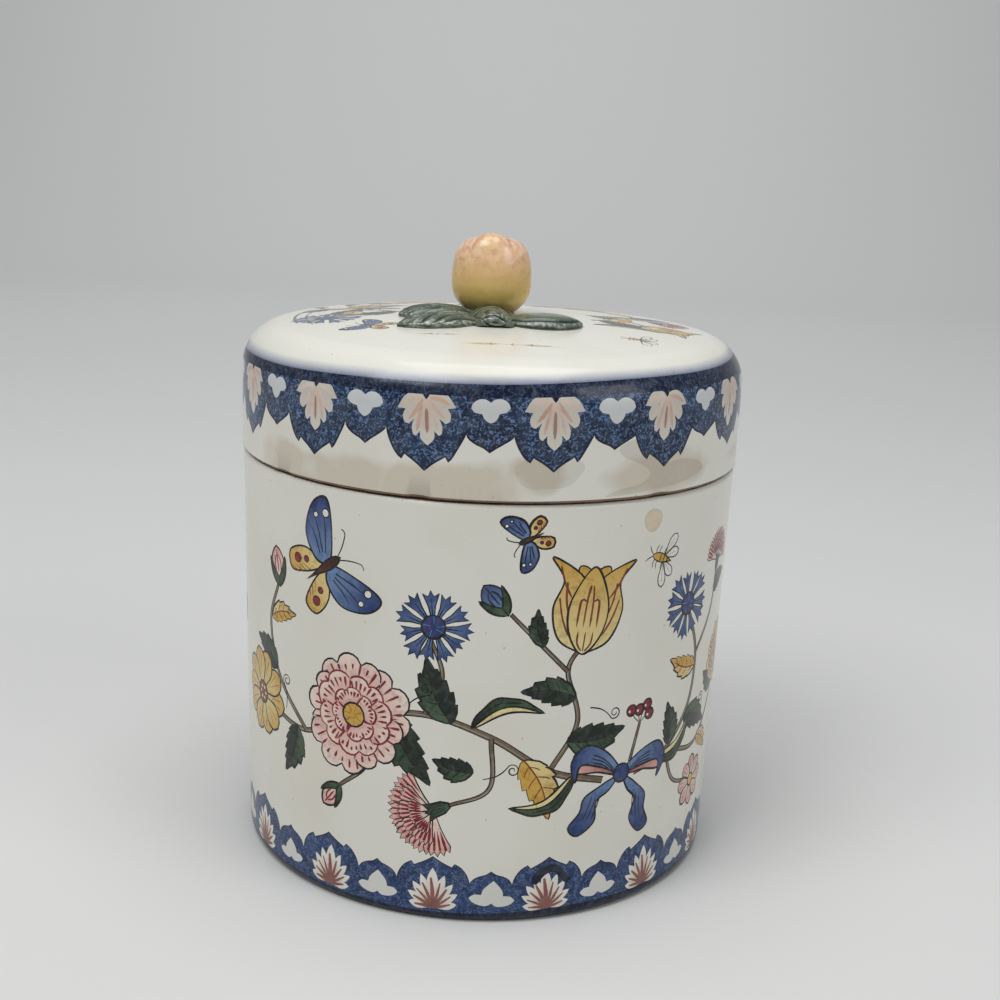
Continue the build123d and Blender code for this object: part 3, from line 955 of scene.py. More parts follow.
def painted_skin(name, skin, sheet, start, sides, cells, pigments, bites=()):
    """The outside of a turned piece with its picture cut into it."""
    columns, rows = skin.lattice(start, sides)
    end = start + skin.across
    points = list((columns[None, :] + 1j * rows[:, None]).ravel())
    wide, high = len(columns), len(rows)
    edges = []
    for row in (0, high - 1):
        edges += [(row * wide + k, row * wide + k + 1) for k in range(wide - 1)]
    for share in range(len(cells) + 1):
        column = share * sides // len(cells)
        edges += [(k * wide + column, (k + 1) * wide + column) for k in range(high - 1)]
    ring = polar(1, np.arange(0, 360, 15))
    for middle, half, rise, under in bites:
        reach = np.where(ring.imag > 0, rise, under)
        for share in (0.35, 0.7):
            up = skin.bite_edge + share * reach * ring.imag
            points.extend(middle + share * half * ring.real + 1j * up)

    def keep(spots):
        """Which places lie on the skin."""
        within = (spots.real > start) & (spots.real < end)
        return within & (spots.imag > rows[0]) & (spots.imag < rows[-1])

    # The second cut gives both sides of the seam the same points
    flat, _, _ = cut_out(sheet.shapes, points, edges, keep)
    near = 2e-3
    points.extend(flat[abs(flat.real - start) < near] - start + end)
    points.extend(flat[abs(flat.real - end) < near] - end + start)
    corners, triangles, top = cut_out(sheet.shapes, points, edges, keep)
    places, ways = skin.place(corners)
    for middle, half, rise, under in bites:
        places, ways = bite_off(skin, corners, places, ways, middle, half, rise, under)
    mesh = new_mesh(name, places, triangles, ways)
    paint(mesh, sheet, corners, triangles, top, pigments)
    flat = corners[triangles]
    share = (flat.real - start) / skin.across * len(cells)
    which = np.floor(share.mean(1)).astype(int).clip(0, len(cells) - 1)
    up = (flat.imag - rows[0]) / (rows[-1] - rows[0])
    spots = share - which[:, None] + 1j * up
    uv = np.zeros((len(triangles), 3, 2))
    for k, cell in enumerate(cells):
        uv[which == k] = in_cell(spots[which == k], cell)
    cells_uv(mesh, uv)
    return mesh


def bite_off(skin, flat, places, ways, middle, half, rise, under):
    """Take a chip out of the rim: what the chip covers is drawn back onto a shallow hollow."""
    depth = 0.3
    s = (flat.real - middle) / half
    reach = np.sqrt(np.clip(1 - s**2, 0, None))
    low, high = skin.bite_edge - under * reach, skin.bite_edge + rise * reach
    hit = (abs(s) < 1) & (flat.imag > low) & (flat.imag < high)
    share = ((flat.imag - low) / np.maximum(high - low, 1e-6))[hit][:, None]
    below, _ = skin.place(flat.real[hit] + 1j * low[hit])
    above, _ = skin.place(flat.real[hit] + 1j * high[hit])
    places = places.copy()
    ways = ways.copy()
    sunk = ways[hit] * depth * (np.sin(np.pi * share) * reach[hit][:, None])
    places[hit] = below * (1 - share) + above * share - sunk
    ways[hit] = 0
    return places, ways


def painted_disc(name, radius, height, ball, sheet, sides, turn, cell, pigments):
    """The domed top of the lid, seen from above, with its picture cut into it."""
    spacing = 2.4
    rim = polar(radius, np.degrees(turn) + 360 * np.arange(sides) / sides - 90)
    row = np.arange(-radius, radius, spacing)
    grid = (row[None, :] + 1j * row[:, None]).ravel()
    grid = grid[abs(grid) < radius - 1.6]
    edges = [(k, (k + 1) % sides) for k in range(sides)]
    points = list(rim) + list(grid)
    corners, triangles, top = cut_out(sheet.shapes, points, edges, lambda spots: abs(spots) < radius)
    up = height - ball + np.sqrt(ball**2 - abs(corners) ** 2)
    places = np.stack([corners.real, corners.imag, up], 1)
    ways = places - np.array([0, 0, height - ball])
    mesh = new_mesh(name, places, triangles, ways / ball)
    paint(mesh, sheet, corners, triangles, top, pigments)
    cells_uv(mesh, in_cell((corners[triangles] / radius + 1 + 1j) / 2, cell))
    return mesh


def spin_outline(bm, line, start, sides):
    """Turn an outline of points (across, up), from the axis or from an edge, once round the axis."""
    turn = start - math.pi / 2
    across, along = math.cos(turn), math.sin(turn)
    dots = [bm.verts.new((p.real * across * MM, p.real * along * MM, p.imag * MM)) for p in line]
    edges = [bm.edges.new(pair) for pair in zip(dots, dots[1:])]
    bmesh.ops.spin(
        bm, geom=dots + edges, cent=(0, 0, 0), axis=(0, 0, 1), angle=2 * math.pi, steps=sides, use_merge=True
    )


def unwrap_turned(bm, cells, low, high):
    """Lay the plain turned faces into cells: facing up, down, out and in."""
    layer = bm.loops.layers.uv["OFBake"]
    up, down, outward, inward = cells
    reach = max(math.hypot(v.co.x, v.co.y) for v in bm.verts)
    for face in bm.faces:
        middle = face.calc_center_median()
        normal = face.normal
        for loop in face.loops:
            co = loop.vert.co
            if abs(normal.z) > 0.7:
                share = complex(co.x / reach + 1, co.y / reach + 1) / 2
                cell = up if normal.z > 0 else down
            else:
                centre = math.atan2(middle.y, middle.x)
                swing = (math.atan2(co.y, co.x) - centre + math.pi) % (2 * math.pi) - math.pi
                share = complex((centre + swing) / (2 * math.pi) + 0.5, (co.z - low) / (high - low))
                cell = outward if normal.x * middle.x + normal.y * middle.y > 0 else inward
            loop[layer].uv = in_cell(np.array(share), cell)


def join_turned(skins, outlines, start, sides, cells, bare):
    """One closed piece of painted skins and the plain outlines turned between them.

    bare says which plain places show unglazed clay."""
    joint, seam = 1e-6, 4e-7
    bm = bmesh.new()
    bm.loops.layers.uv.new("OFBake")
    pigment = bm.loops.layers.float_color.new("pigment")
    finish = bm.loops.layers.float_color.new("finish")
    for line in outlines:
        spin_outline(bm, line, start, sides)
    bmesh.ops.remove_doubles(bm, verts=bm.verts, dist=joint)
    bmesh.ops.triangulate(bm, faces=bm.faces)
    bm.normal_update()
    heights = [v.co.z for v in bm.verts]
    unwrap_turned(bm, cells, min(heights), max(heights))
    for face in bm.faces:
        clay = 1.0 if bare(face.calc_center_median(), face.normal) else 0.0
        for loop in face.loops:
            loop[pigment] = (0.0, 0.0, 0.0, 0.0)
            loop[finish] = (0.0, clay, 0.0, 1.0)
    for skin in skins:
        bm.from_mesh(skin)
        bpy.data.meshes.remove(skin)
    bmesh.ops.remove_doubles(bm, verts=bm.verts, dist=seam)
    # Slivers that folded shut hang on by one edge
    slivers = [v for v in bm.verts if len(v.link_faces) == 1]
    bmesh.ops.delete(bm, geom=slivers, context="VERTS")
    bmesh.ops.recalc_face_normals(bm, faces=bm.faces)
    return bm


def finish_piece(name, bm, material, body, node):
    """Make the piece of a bmesh, shaded smooth, that stands for its node of the frame."""
    mesh = bpy.data.meshes.new(name)
    bm.to_mesh(mesh)
    bm.free()
    mesh.shade_smooth()
    kept = mesh.attributes.get("way_out")
    if kept:
        ways = np.zeros(len(mesh.vertices) * 3)
        kept.data.foreach_get("vector", ways)
        ways = ways.reshape(-1, 3)
        plain = np.zeros(len(mesh.vertices) * 3)
        mesh.vertex_normals.foreach_get("vector", plain)
        ways = np.where(np.linalg.norm(ways, axis=1)[:, None] > 0.5, ways, plain.reshape(-1, 3))
        mesh.attributes.remove(mesh.attributes["way_out"])
        mesh.normals_split_custom_set_from_vertices(ways.tolist())
    mesh.materials.append(material)
    piece = bpy.data.objects.new(name, mesh)
    bpy.context.scene.collection.objects.link(piece)
    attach(piece, body)
    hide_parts(node)


# Materials

# The two colours of a Mix node that mixes colours, and its settings
UNDER, OVER = 6, 7
MIX = dict(data_type="RGBA", clamp_factor=True)


def feed(node, inputs):
    """Set a node's inputs: to values, to sockets, or to nodes for the first output that they use."""
    for name, value in inputs.items():
        if isinstance(value, bpy.types.Node):
            value = next(socket for socket in value.outputs if socket.enabled)
        if isinstance(value, bpy.types.NodeSocket):
            node.id_data.links.new(value, node.inputs[name])
        else:
            node.inputs[name].default_value = value


def add_node(tree, kind, inputs=None, **settings):
    """Add a shader node with its settings and links."""
    node = tree.nodes.new("ShaderNode" + kind)
    for name, value in settings.items():
        setattr(node, name, value)
    feed(node, inputs or {})
    return node


def per(millimetres):
    """The scale of a texture whose features are that far apart."""
    return 1 / (millimetres * MM)


def opaque(linear):
    return (*linear, 1.0)


def new_material(name):
    """A material, what adds a node to it, its Principled shader, and the place on the piece to read."""
    material = bpy.data.materials.new(name)
    material.use_nodes = True
    material.node_tree.nodes.clear()
    add = partial(add_node, material.node_tree)
    shader = add("BsdfPrincipled")
    add("OutputMaterial", {"Surface": shader})
    return material, add, shader, add("TexCoord").outputs["Object"]


def painted_faience(settings):
    """Tin-glazed earthenware: clay under an opaque white glaze, with pigments brushed on the raw glaze.

    The eye gets a deep even gloss over a surface that is not quite flat, washes that run thin and pool,
    small dark specks, and dull sandy clay where the glaze is gone."""
    glazes, pigments = settings.glazes, settings.pigments
    material, add, shader, place = new_material("tin_glazed_earthenware_painted")

    clouds = add("TexNoise", {"Vector": place, "Scale": per(38), "Detail": 3.0})
    thin = add("MapRange", {0: clouds, "From Min": 0.48, "From Max": 0.78, "To Max": 0.55})
    glaze = add("Mix", {0: thin, UNDER: opaque(glazes.tin_white), OVER: opaque(glazes.tin_warm)}, **MIX)
    grit = add("TexVoronoi", {"Vector": place, "Scale": per(6.5), "Randomness": 1.0})
    fleck = add(
        "MapRange",
        {0: grit.outputs["Distance"], "From Min": 0.035, "From Max": 0.06, "To Min": 0.5, "To Max": 0.0}
    )
    specked = add("Mix", {0: fleck, UNDER: glaze, OVER: opaque(pigments.clay)}, **MIX)

    finish = add("Attribute", attribute_name="finish")
    parts = add("SeparateColor", {0: finish.outputs["Color"]})
    sponge, bare, stain = parts.outputs
    puddle = add("TexNoise", {"Vector": place, "Scale": per(17), "Detail": 2.0, "Distortion": 0.5})
    spread = add("Math", {0: stain, 1: puddle}, operation="MULTIPLY")
    dried = add("MapRange", {0: spread, "From Min": 0.22, "From Max": 0.42, "To Max": 0.58})
    stained = add("Mix", {0: dried, UNDER: specked, OVER: opaque(glazes.stain)}, **MIX)

    pigment = add("Attribute", attribute_name="pigment")
    wash = add("TexNoise", {"Vector": place, "Scale": per(3.2), "Detail": 5.0, "Distortion": 1.2})
    cover = add("MapRange", {0: wash, "From Min": 0.36, "From Max": 0.56, "To Min": 0.96, "To Max": 1.0})
    covered = add("Math", {0: cover, 1: pigment.outputs["Alpha"]}, operation="MULTIPLY")
    pool = add("MapRange", {0: wash, "From Min": 0.5, "From Max": 0.7, "To Max": 0.3})
    pooled = add("Mix", {0: pool, UNDER: pigment.outputs["Color"], OVER: opaque(pigments.ink)}, **MIX)
    curds = add("TexNoise", {"Vector": place, "Scale": per(1.2), "Detail": 5.0, "Distortion": 1.6})
    dabs = add("TexNoise", {"Vector": place, "Scale": per(6), "Detail": 3.0})
    double_dab = add("MapRange", {0: dabs, "From Min": 0.4, "From Max": 0.6, "To Min": 0.35, "To Max": 0.9})
    dab_share = add("Math", {0: double_dab, 1: sponge}, operation="MULTIPLY")
    dabbed = add("Mix", {0: dab_share, UNDER: pooled, OVER: opaque(pigments.navy)}, **MIX)
    pores = add("MapRange", {0: curds, "From Min": 0.51, "From Max": 0.61, "To Max": 0.7})
    pore_share = add("Math", {0: pores, 1: sponge}, operation="MULTIPLY")
    sponged = add("Mix", {0: pore_share, UNDER: dabbed, OVER: opaque(pigments.sky)}, **MIX)
    painted = add("Mix", {0: covered, UNDER: stained, OVER: sponged}, **MIX)

    sand = add("TexNoise", {"Vector": place, "Scale": per(0.8), "Detail": 3.0})
    clay = add("Mix", {0: sand, UNDER: opaque(glazes.bare_clay), OVER: opaque(pigments.clay)}, **MIX)
    surface = add("Mix", {0: bare, UNDER: painted, OVER: clay}, **MIX)

    glossy = add("MapRange", {0: wash, "To Min": 0.12, "To Max": 0.24})
    roughness = add("Mix", {0: bare, 2: glossy, 3: 0.85})

    ripple = add("TexNoise", {"Vector": place, "Scale": per(26), "Detail": 2.0})
    soft = add("Bump", {"Strength": 0.6, "Distance": 0.35 * MM, "Height": ripple})
    grain = add("Bump", {"Strength": bare, "Distance": 0.12 * MM, "Height": sand, "Normal": soft})
    feed(shader, {"Base Color": surface, "Roughness": roughness, "Normal": grain})
    feed(shader, {"IOR": 1.5, "Specular IOR Level": 0.3})
    return material


def fruit_glaze(settings, low, high):
    """Fruit coloured under a clear lead glaze on a moulded body.

    The eye gets a blush that fades downwards through yellow to olive, mottled where the colour was
    dabbed on, brown in the creases where the glaze pools, painted shade in the creases, the top hollow
    and round the foot, and a wet gloss."""
    glazes, pigments = settings.glazes, settings.pigments
    material, add, shader, place = new_material("lead_glazed_fruit_dabbed")

    height = add("SeparateXYZ", {0: place}).outputs["Z"]
    blotch = add("TexNoise", {"Vector": place, "Scale": per(9), "Detail": 4.0, "Distortion": 0.8})
    shift = add("MapRange", {0: blotch, "To Min": -5 * MM, "To Max": 5 * MM}, clamp=False)
    uneven = add("Math", {0: height, 1: shift}, operation="ADD")
    tall = high - low
    upper = add("MapRange", {0: uneven, "From Min": low + 0.38 * tall, "From Max": low + 0.78 * tall})
    lower = add("MapRange", {0: uneven, "From Min": low + 0.02 * tall, "From Max": low + 0.4 * tall})
    body = add("Mix", {0: lower, UNDER: opaque(glazes.fruit_olive), OVER: opaque(glazes.fruit_yellow)}, **MIX)
    blush = add("Mix", {0: upper, UNDER: body, OVER: opaque(glazes.fruit_red)}, **MIX)
    freckles = add("TexNoise", {"Vector": place, "Scale": per(3.6), "Detail": 7.0, "Distortion": 0.8})
    marbled_share = add("MapRange", {0: freckles, "From Min": 0.42, "From Max": 0.66, "To Max": 0.75})
    rosy_share = add("Math", {0: marbled_share, 1: upper}, operation="MULTIPLY")
    rosy = add("Mix", {0: rosy_share, UNDER: blush, OVER: opaque(pigments.vein)}, **MIX)
    thick_share = add("MapRange", {0: blotch, "From Min": 0.5, "From Max": 0.72, "To Max": 0.45})
    thick = add("Mix", {0: thick_share, UNDER: rosy, OVER: opaque(glazes.fruit_olive)}, **MIX)
    dots = add("TexVoronoi", {"Vector": place, "Scale": per(3.0), "Randomness": 1.0})
    dot_share = add(
        "MapRange",
        {0: dots.outputs["Distance"], "From Min": 0.03, "From Max": 0.08, "To Min": 0.5, "To Max": 0.0}
    )
    freckled = add("Mix", {0: dot_share, UNDER: thick, OVER: opaque(pigments.rust)}, **MIX)
    # The relief's first share is glaze pooled in the creases, and painted shade there, in the top hollow and
    # round the foot
    relief = add("Attribute", attribute_name="relief")
    crease_pool_and_shade = add("SeparateColor", {0: relief.outputs["Color"]}).outputs[0]
    crease_pool_and_shade_share = add("Math", {0: crease_pool_and_shade, 1: 0.75}, operation="MULTIPLY")
    crease_pool_and_shaded = add("Mix", {0: crease_pool_and_shade_share, UNDER: freckled, OVER: opaque(pigments.clay)}, **MIX)

    gloss = add("MapRange", {0: freckles, "To Min": 0.1, "To Max": 0.26})
    dimples = add("TexNoise", {"Vector": place, "Scale": per(4.0), "Detail": 3.0})
    bump = add("Bump", {"Strength": 0.5, "Distance": 0.3 * MM, "Height": dimples})
    feed(shader, {"Base Color": crease_pool_and_shaded, "Roughness": gloss, "IOR": 1.55, "Normal": bump})
    return material


def leaf_glaze(settings):
    """Grey-green glaze over moulded leaves, with the veins drawn in black.

    The eye gets a glaze that pools dark in the veins and breaks pale along the ridges and edges, with
    painted highlights on the leaves' sloping sides and the twig's upper side, and painted shade in the
    twig's folds and where the twig meets the lid."""
    glazes = settings.glazes
    material, add, shader, place = new_material("lead_glazed_leaves_moulded")

    relief = add("Attribute", attribute_name="relief")
    groove, ridge, _ = add("SeparateColor", {0: relief.outputs["Color"]}).outputs
    run = add("TexNoise", {"Vector": place, "Scale": per(4), "Detail": 5.0, "Distortion": 1.0})
    specks = add("TexNoise", {"Vector": place, "Scale": per(0.9), "Detail": 4.0})
    pooled = add("MapRange", {0: run, "From Min": 0.46, "From Max": 0.7, "To Max": 0.6})
    broken = add("MapRange", {0: specks, "From Min": 0.48, "From Max": 0.6, "To Min": 0.05, "To Max": 0.9})
    base = add("Mix", {0: pooled, UNDER: opaque(glazes.leaf_green), OVER: opaque(glazes.leaf_dark)}, **MIX)
    # The ridge share also holds painted highlights, and the groove share painted shade on the twig
    light_share = add("Math", {0: ridge, 1: broken}, operation="MULTIPLY")
    lit = add("Mix", {0: light_share, UNDER: base, OVER: opaque(glazes.leaf_light)}, **MIX)
    lined = add("Mix", {0: groove, UNDER: lit, OVER: opaque(glazes.leaf_dark)}, **MIX)

    gloss = add("MapRange", {0: run, "To Min": 0.1, "To Max": 0.28})
    dimples = add("TexNoise", {"Vector": place, "Scale": per(1.6), "Detail": 3.0})
    bump = add("Bump", {"Strength": 0.5, "Distance": 0.2 * MM, "Height": dimples})
    feed(shader, {"Base Color": lined, "Roughness": gloss, "IOR": 1.55, "Normal": bump})
    return material


def shared_material(maker, name, *details):
    """The material of that name, made the first time it is asked for."""
    return bpy.data.materials.get(name) or maker(bpy.context.scene.canister, *details)


# Pictures of this canister

# Degrees round from the front to the left, where a valley of each border falls
JAR_SEAM = 93.96
LID_SEAM = 98.06

# Chips in the lid's rim: middle round the lid, half width, reach up the side and under the rim
RIM_BITES = ((-68.4, 4.2, 0.8, 1.0), (-19.6, 3.9, 0.9, 1.1), (53.1, 5.0, 1.0, 1.1))


def past_skin(around, height):
    """The two ends, right one first, of a line at a height above or below the skin."""
    return [around[-1] + 1j * height, around[0] + 1j * height]


def draw_wall(settings, skin, start):
    """The jar's side: a border round the foot, and a flowering spray on the front and on the back."""
    sheet = Sheet(4)
    around = np.linspace(start, start + skin.across, 241)
    wave = waver(sheet, around - start, skin.across, (0.2, 0.25, 0.3, 0.2, 0.15, 0.1, 0.1))
    top = around + 1j * (3.2 + wave)
    pendant_border(
        sheet, start, skin.across, settings.border_repeats, valley=12.6, hang=1, edge=top.imag,
        radius=skin.radius, large_reach=8.2, small_reach=4.6, bulges=(0.09, 0.09),
        pigment="mid_blue", sponge=0.6, edge_line=0.35, palmette=palmette, palmette_base=4.3,
        trefoil=CLOVER, trefoil_base=5.8, trefoil_size=0.86, trefoil_tint=0.12,
    )
    # A dark line on the ledge just under the lid's rim: partly dirt, partly painted shade in the gap under
    # the lid
    ledge_dirt_and_gap_shade = around + 1j * (skin.along[-1] - 1.7 + 0.3 * wave)
    sheet.fill(np.concatenate([ledge_dirt_and_gap_shade, past_skin(around, skin.along[-1] + 1)]), "bark", 0.9)
    sheet.fill(np.concatenate([top, past_skin(around, skin.along[0] - 1)]), "navy")
    arch = np.array([
        -4.4 + 12.4j, -3.4 + 14.8j, -1.6 + 16.5j, 0.8 + 17.3j, 3.0 + 16.6j, 4.8 + 14.4j, 7.0 + 12.2j
    ])
    sheet.stroke(smooth_line(23.6 + arch, 1.4), 2.7, "navy", (0.5, 1.0))
    half_way = skin.across / 2
    wall_spray(sheet, 0, False, PINKS, YELLOWS, BLUES)
    wall_spray(sheet, half_way, True, YELLOWS, PINKS, BLUES)
    stem(sheet.at(0), [-116 + 56j, -115 + 64j, -112 + 72j], 0.9, 0.6)
    leaf(sheet.at(-115 + 64j, 140), 11, 5)
    bud(sheet.at(-112 + 72j, 60), 11, BLUES)
    bee(sheet.at(-114 + 104j, 70), 7)
    bee(sheet.at(125 + 112j, 100), 7)
    sheet.at(0)
    ring = np.arange(0, 361, 20)
    drop = 51.9 + 123.3j + polar(3.3 + 0.15 * np.sin(np.radians(3 * ring)), ring)
    sheet.fill(drop[:-1], "yellow", 0.4)
    sheet.stroke(drop, 0.45, "rust", (1, 1), 0.3)
    for crack in ([20 + 117.5j, 30 + 119.4j, 44 + 121.2j], [-8 + 121j, -3 + 119j]):
        sheet.stroke(smooth_line(crack, 2.0), 0.22, "white", strength=0.6)
    return sheet


def draw_lid_side(settings, skin, start):
    """The lid's side: a band round the shoulder with a border hanging from it, and stains below."""
    sheet = Sheet(9)
    around = np.linspace(start, start + skin.across, 241)
    tilt = 2.2 * np.sin(around / skin.radius)
    wave = waver(sheet, around - start, skin.across, (0.2, 0.3, 0.3, 0.25, 0.2, 0.2, 0.15))
    lines = []
    for height, share in ((167.2, 1.0), (163.8, 1.0), (160.1, 0.6)):
        line = around + 1j * (height + share * (tilt + wave))
        line[-1] = around[-1] + 1j * line[0].imag
        lines.append(line)
    haze, band, under = lines
    # The haze fades out upwards, so each short piece of it fades square to the band
    for k in range(len(around) - 1):
        part = slice(k, k + 2)
        foot = band[part].mean() - 0.2j
        run = band[k + 1] - band[k]
        square = 1j * run / abs(run)
        fade = (foot, foot + square * (haze[part].mean() - foot).imag, "sky", 0.0)
        sheet.fill(np.concatenate([haze[part], band[part][::-1]]), "cobalt", 0.85, shade=fade)
    ring = np.arange(0, 360, 12)
    reach = 1 + 0.07 * np.sin(np.radians(2 * ring + 40)) + 0.05 * np.sin(np.radians(5 * ring))
    round_blot = 17 + 139.6j + reach * (9.5 * polar(1, ring).real + 5.4j * polar(1, ring).imag)
    sheet.fill(round_blot, "bark", 0.16)
    ragged_blot = smooth_line([
        38 + 146j, 46 + 148.4j, 55 + 147j, 57.4 + 143.6j, 55.5 + 140.2j, 62 + 140.6j, 70 + 139j,
        72.6 + 136j, 63 + 133.6j, 54 + 132.8j, 44 + 132.2j, 34 + 131.8j, 38.5 + 133.6j, 46.5 + 135j,
        49 + 138j, 44.5 + 141j, 39.4 + 143j,
    ], 1.2, closed=True)
    sheet.fill(ragged_blot, "clay", 0.24)
    pendant_border(
        sheet, start, skin.across, settings.border_repeats, valley=149.6, hang=-1, edge=under.imag,
        lean=1.0, radius=skin.radius, large_reach=10.2, small_reach=4.5, bulges=(0.06, 0.01),
        pigment="dark_blue", sponge=1.0, edge_line=0.6, palmette=shell, palmette_base=159.5,
        trefoil=HEART, trefoil_base=158.8, trefoil_size=0.93, trefoil_tint=0.26,
    )
    sheet.fill(np.concatenate([band, under[::-1]]), "navy", 1.0, sponge=0.3)
    worn = around + 1j * (skin.bite_edge + 0.55 + 0.25 * wave)
    sheet.fill(np.concatenate([worn, past_skin(around, skin.along[0] - 1)]), "bark", 1.0, bare=0.4)
    ring = polar(1, np.arange(0, 360, 10))
    # Each chip shows bare clay painted dark brown: partly the clay, partly painted shade in the notch
    for middle, half, rise, low in RIM_BITES:
        ragged = np.where(ring.imag > 0, rise, low) * sheet.random.uniform(0.75, 1.0, len(ring))
        bite = middle + half * ring.real + 1j * (skin.bite_edge + ragged * ring.imag)
        sheet.fill(bite, "bark", 1.0, bare=0.4)
    sheet.stains = [
        (-46 + 134j, 22, 7, 0.9), (-19 + 134j, 26, 8, 0.9), (4 + 136j, 14, 8, 0.8), (15 + 139j, 9, 6, 0.9),
        (50 + 137j, 20, 8, 0.8), (66 + 138j, 16, 7, 0.8), (-72 + 135j, 14, 8, 0.8), (110 + 136j, 26, 6, 0.7),
        (-130 + 135j, 30, 6, 0.7), (190 + 134j, 30, 5, 0.6), (-215 + 137j, 20, 6, 0.6),
    ]
    # The same again one turn further, because a stain runs on past the seam
    sheet.stains += [(middle + skin.across, *rest) for middle, *rest in sheet.stains]
    return sheet


def draw_lid_top():
    """The domed top, seen from above with the front below: two garlands and loose sprigs round the knob."""
    s = Sheet(12)
    for points in (
        [-30 - 2j, -40 + 6j, -50 + 2j, -57 - 8j],
        [-40 + 6j, -46 + 20j, -40 + 34j, -26 + 46j],
        [-44 + 14j, -56 + 18j, -60 + 26j],
        [31 - 2j, 42 + 4j, 50 - 4j],
        [38 + 3j, 46 + 16j, 44 + 30j, 30 + 44j],
        [45 + 14j, 56 + 14j],
        [-14 + 36j, -2 + 44j, 12 + 42j],
    ):
        stem(s.at(0), points, 1.2, 0.8)
    for where, turn, long, wide, flip in (
        (-32 - 1j, 195, 17, 8, False), (-52 - 2j, 60, 15, 7, True), (-44 + 16j, 20, 15, 7, False),
        (-56 + 17j, 230, 12, 6, False), (-36 + 38j, 170, 15, 7, True), (-8 + 40j, 250, 14, 6, False),
        (34 - 1j, -20, 17, 8, True), (44 + 8j, 160, 14, 7, False), (46 + 20j, 20, 14, 7, False),
        (38 + 36j, 150, 15, 7, True), (52 + 14j, -60, 12, 6, False), (4 + 44j, 70, 12, 5, False),
    ):
        leaf(s.at(where, turn, flip), long, wide)
    for where, turn in ((-46 + 4j, -100), (-40 + 30j, 30), (40 - 1j, 70), (46 + 26j, 110)):
        leaf(s.at(where, turn), 14, 7, dark="yellow", light="straw", vein="rust")
    blade(s.at(-31 + 8j, 172), 30, 5, -4)
    blade(s.at(-50 + 28j, 60), 22, 5, 4)
    for radius, first, last, width in ((64.2, 198, 156, 0.9), (60.6, 203, 168, 0.6)):
        s.at(0).stroke(polar(radius, np.arange(first, last, -3)), width, "ink", strength=0.8)
    blade(s.at(31 - 12j, -6), 22, 4.5, 3)
    blade(s.at(32 + 10j, 12), 30, 5, 4)
    cornflower(s.at(-53 - 12j))
    bud(s.at(-60 + 25j, 80), 6)
    full_flower(s.at(-24 + 49j), 13)
    daisy(s.at(-44 + 22j), 7, YELLOWS, petals=8)
    tulip(s.at(47 - 3j, -25), 17)
    full_flower(s.at(29 + 46j), 12, YELLOWS, heart="rust")
    carnation(s.at(52 + 13j, -10), 10)
    bud(s.at(11 + 42j, -30), 10, BLUES)
    butterfly(s.at(-38 - 29j, 160), 9)
    bee(s.at(44 - 33j, 175), 8)
    tendril(s.at(-36 + 2j, 100))
    tendril(s.at(36 + 2j, 80), 9, -2)
    for where, turn, size in ((8 - 55j, 2, 1.35), (-17.5 - 44j, 178, 0.55)):
        s.at(where, turn)
        for shift, way in ((0, 1), (-4.6, -1)):
            s.outlined(size * (shift + way * (petal(6.5, 1.1, 0.45, 0.9, 8) + 0.3)), "straw", 0.25, "rust")
        for side in (1, -1):
            for x in (-7.0, -2.4, 1.6):
                s.stroke(size * np.array([x, x + 0.5 + 0.5j * side, x + 0.7 + 1.3j * side]), 0.3, "rust")
        s.stroke(size * np.array([-13.0, -8.0 + 0.3j, -2.0, 4.0 - 0.2j, 9.5]), 0.3, "rust", strength=0.8)
    s.at(0)
    return s


# Pieces

def jar_outlines(jar):
    """The jar's outline in three parts: the base, the painted outside, and the rest to the inside floor."""
    mm = in_millimetres(jar)
    ring_inside = mm.foot_radius - mm.foot_ring
    skin_foot = mm.foot_radius - mm.foot_edge - 1
    skin_lip = mm.ledge_radius - mm.lip - 0.8
    lean = (mm.ledge_radius - mm.foot_radius) / mm.ledge_height
    neck_bottom = mm.ledge_height - mm.neck
    neck_wall = mm.foot_radius + lean * neck_bottom - mm.wall
    floor_wall = mm.foot_radius + lean * mm.floor_top - mm.wall
    base, _ = rounded([
        (0, mm.recess, 0),
        (ring_inside, mm.recess, 0.8),
        (ring_inside, 0, 0.8),
        (skin_foot, 0, 0),
    ])
    skin = rounded([
        (skin_foot, 0, 0),
        (mm.foot_radius, 0, mm.foot_edge),
        (mm.ledge_radius, mm.ledge_height, mm.lip),
        (skin_lip, mm.ledge_height, 0),
    ])
    rest, _ = rounded([
        (skin_lip, mm.ledge_height, 0),
        (mm.collar_radius, mm.ledge_height, 0.6),
        (mm.collar_radius, mm.collar_top, 1.5),
        (mm.collar_bore, mm.collar_top, 1.5),
        (mm.collar_bore, mm.ledge_height, 5.0),
        (neck_wall, neck_bottom, 5.0),
        (floor_wall, mm.floor_top, 8.0),
        (0, mm.floor_top, 0),
    ])
    return base, skin, rest


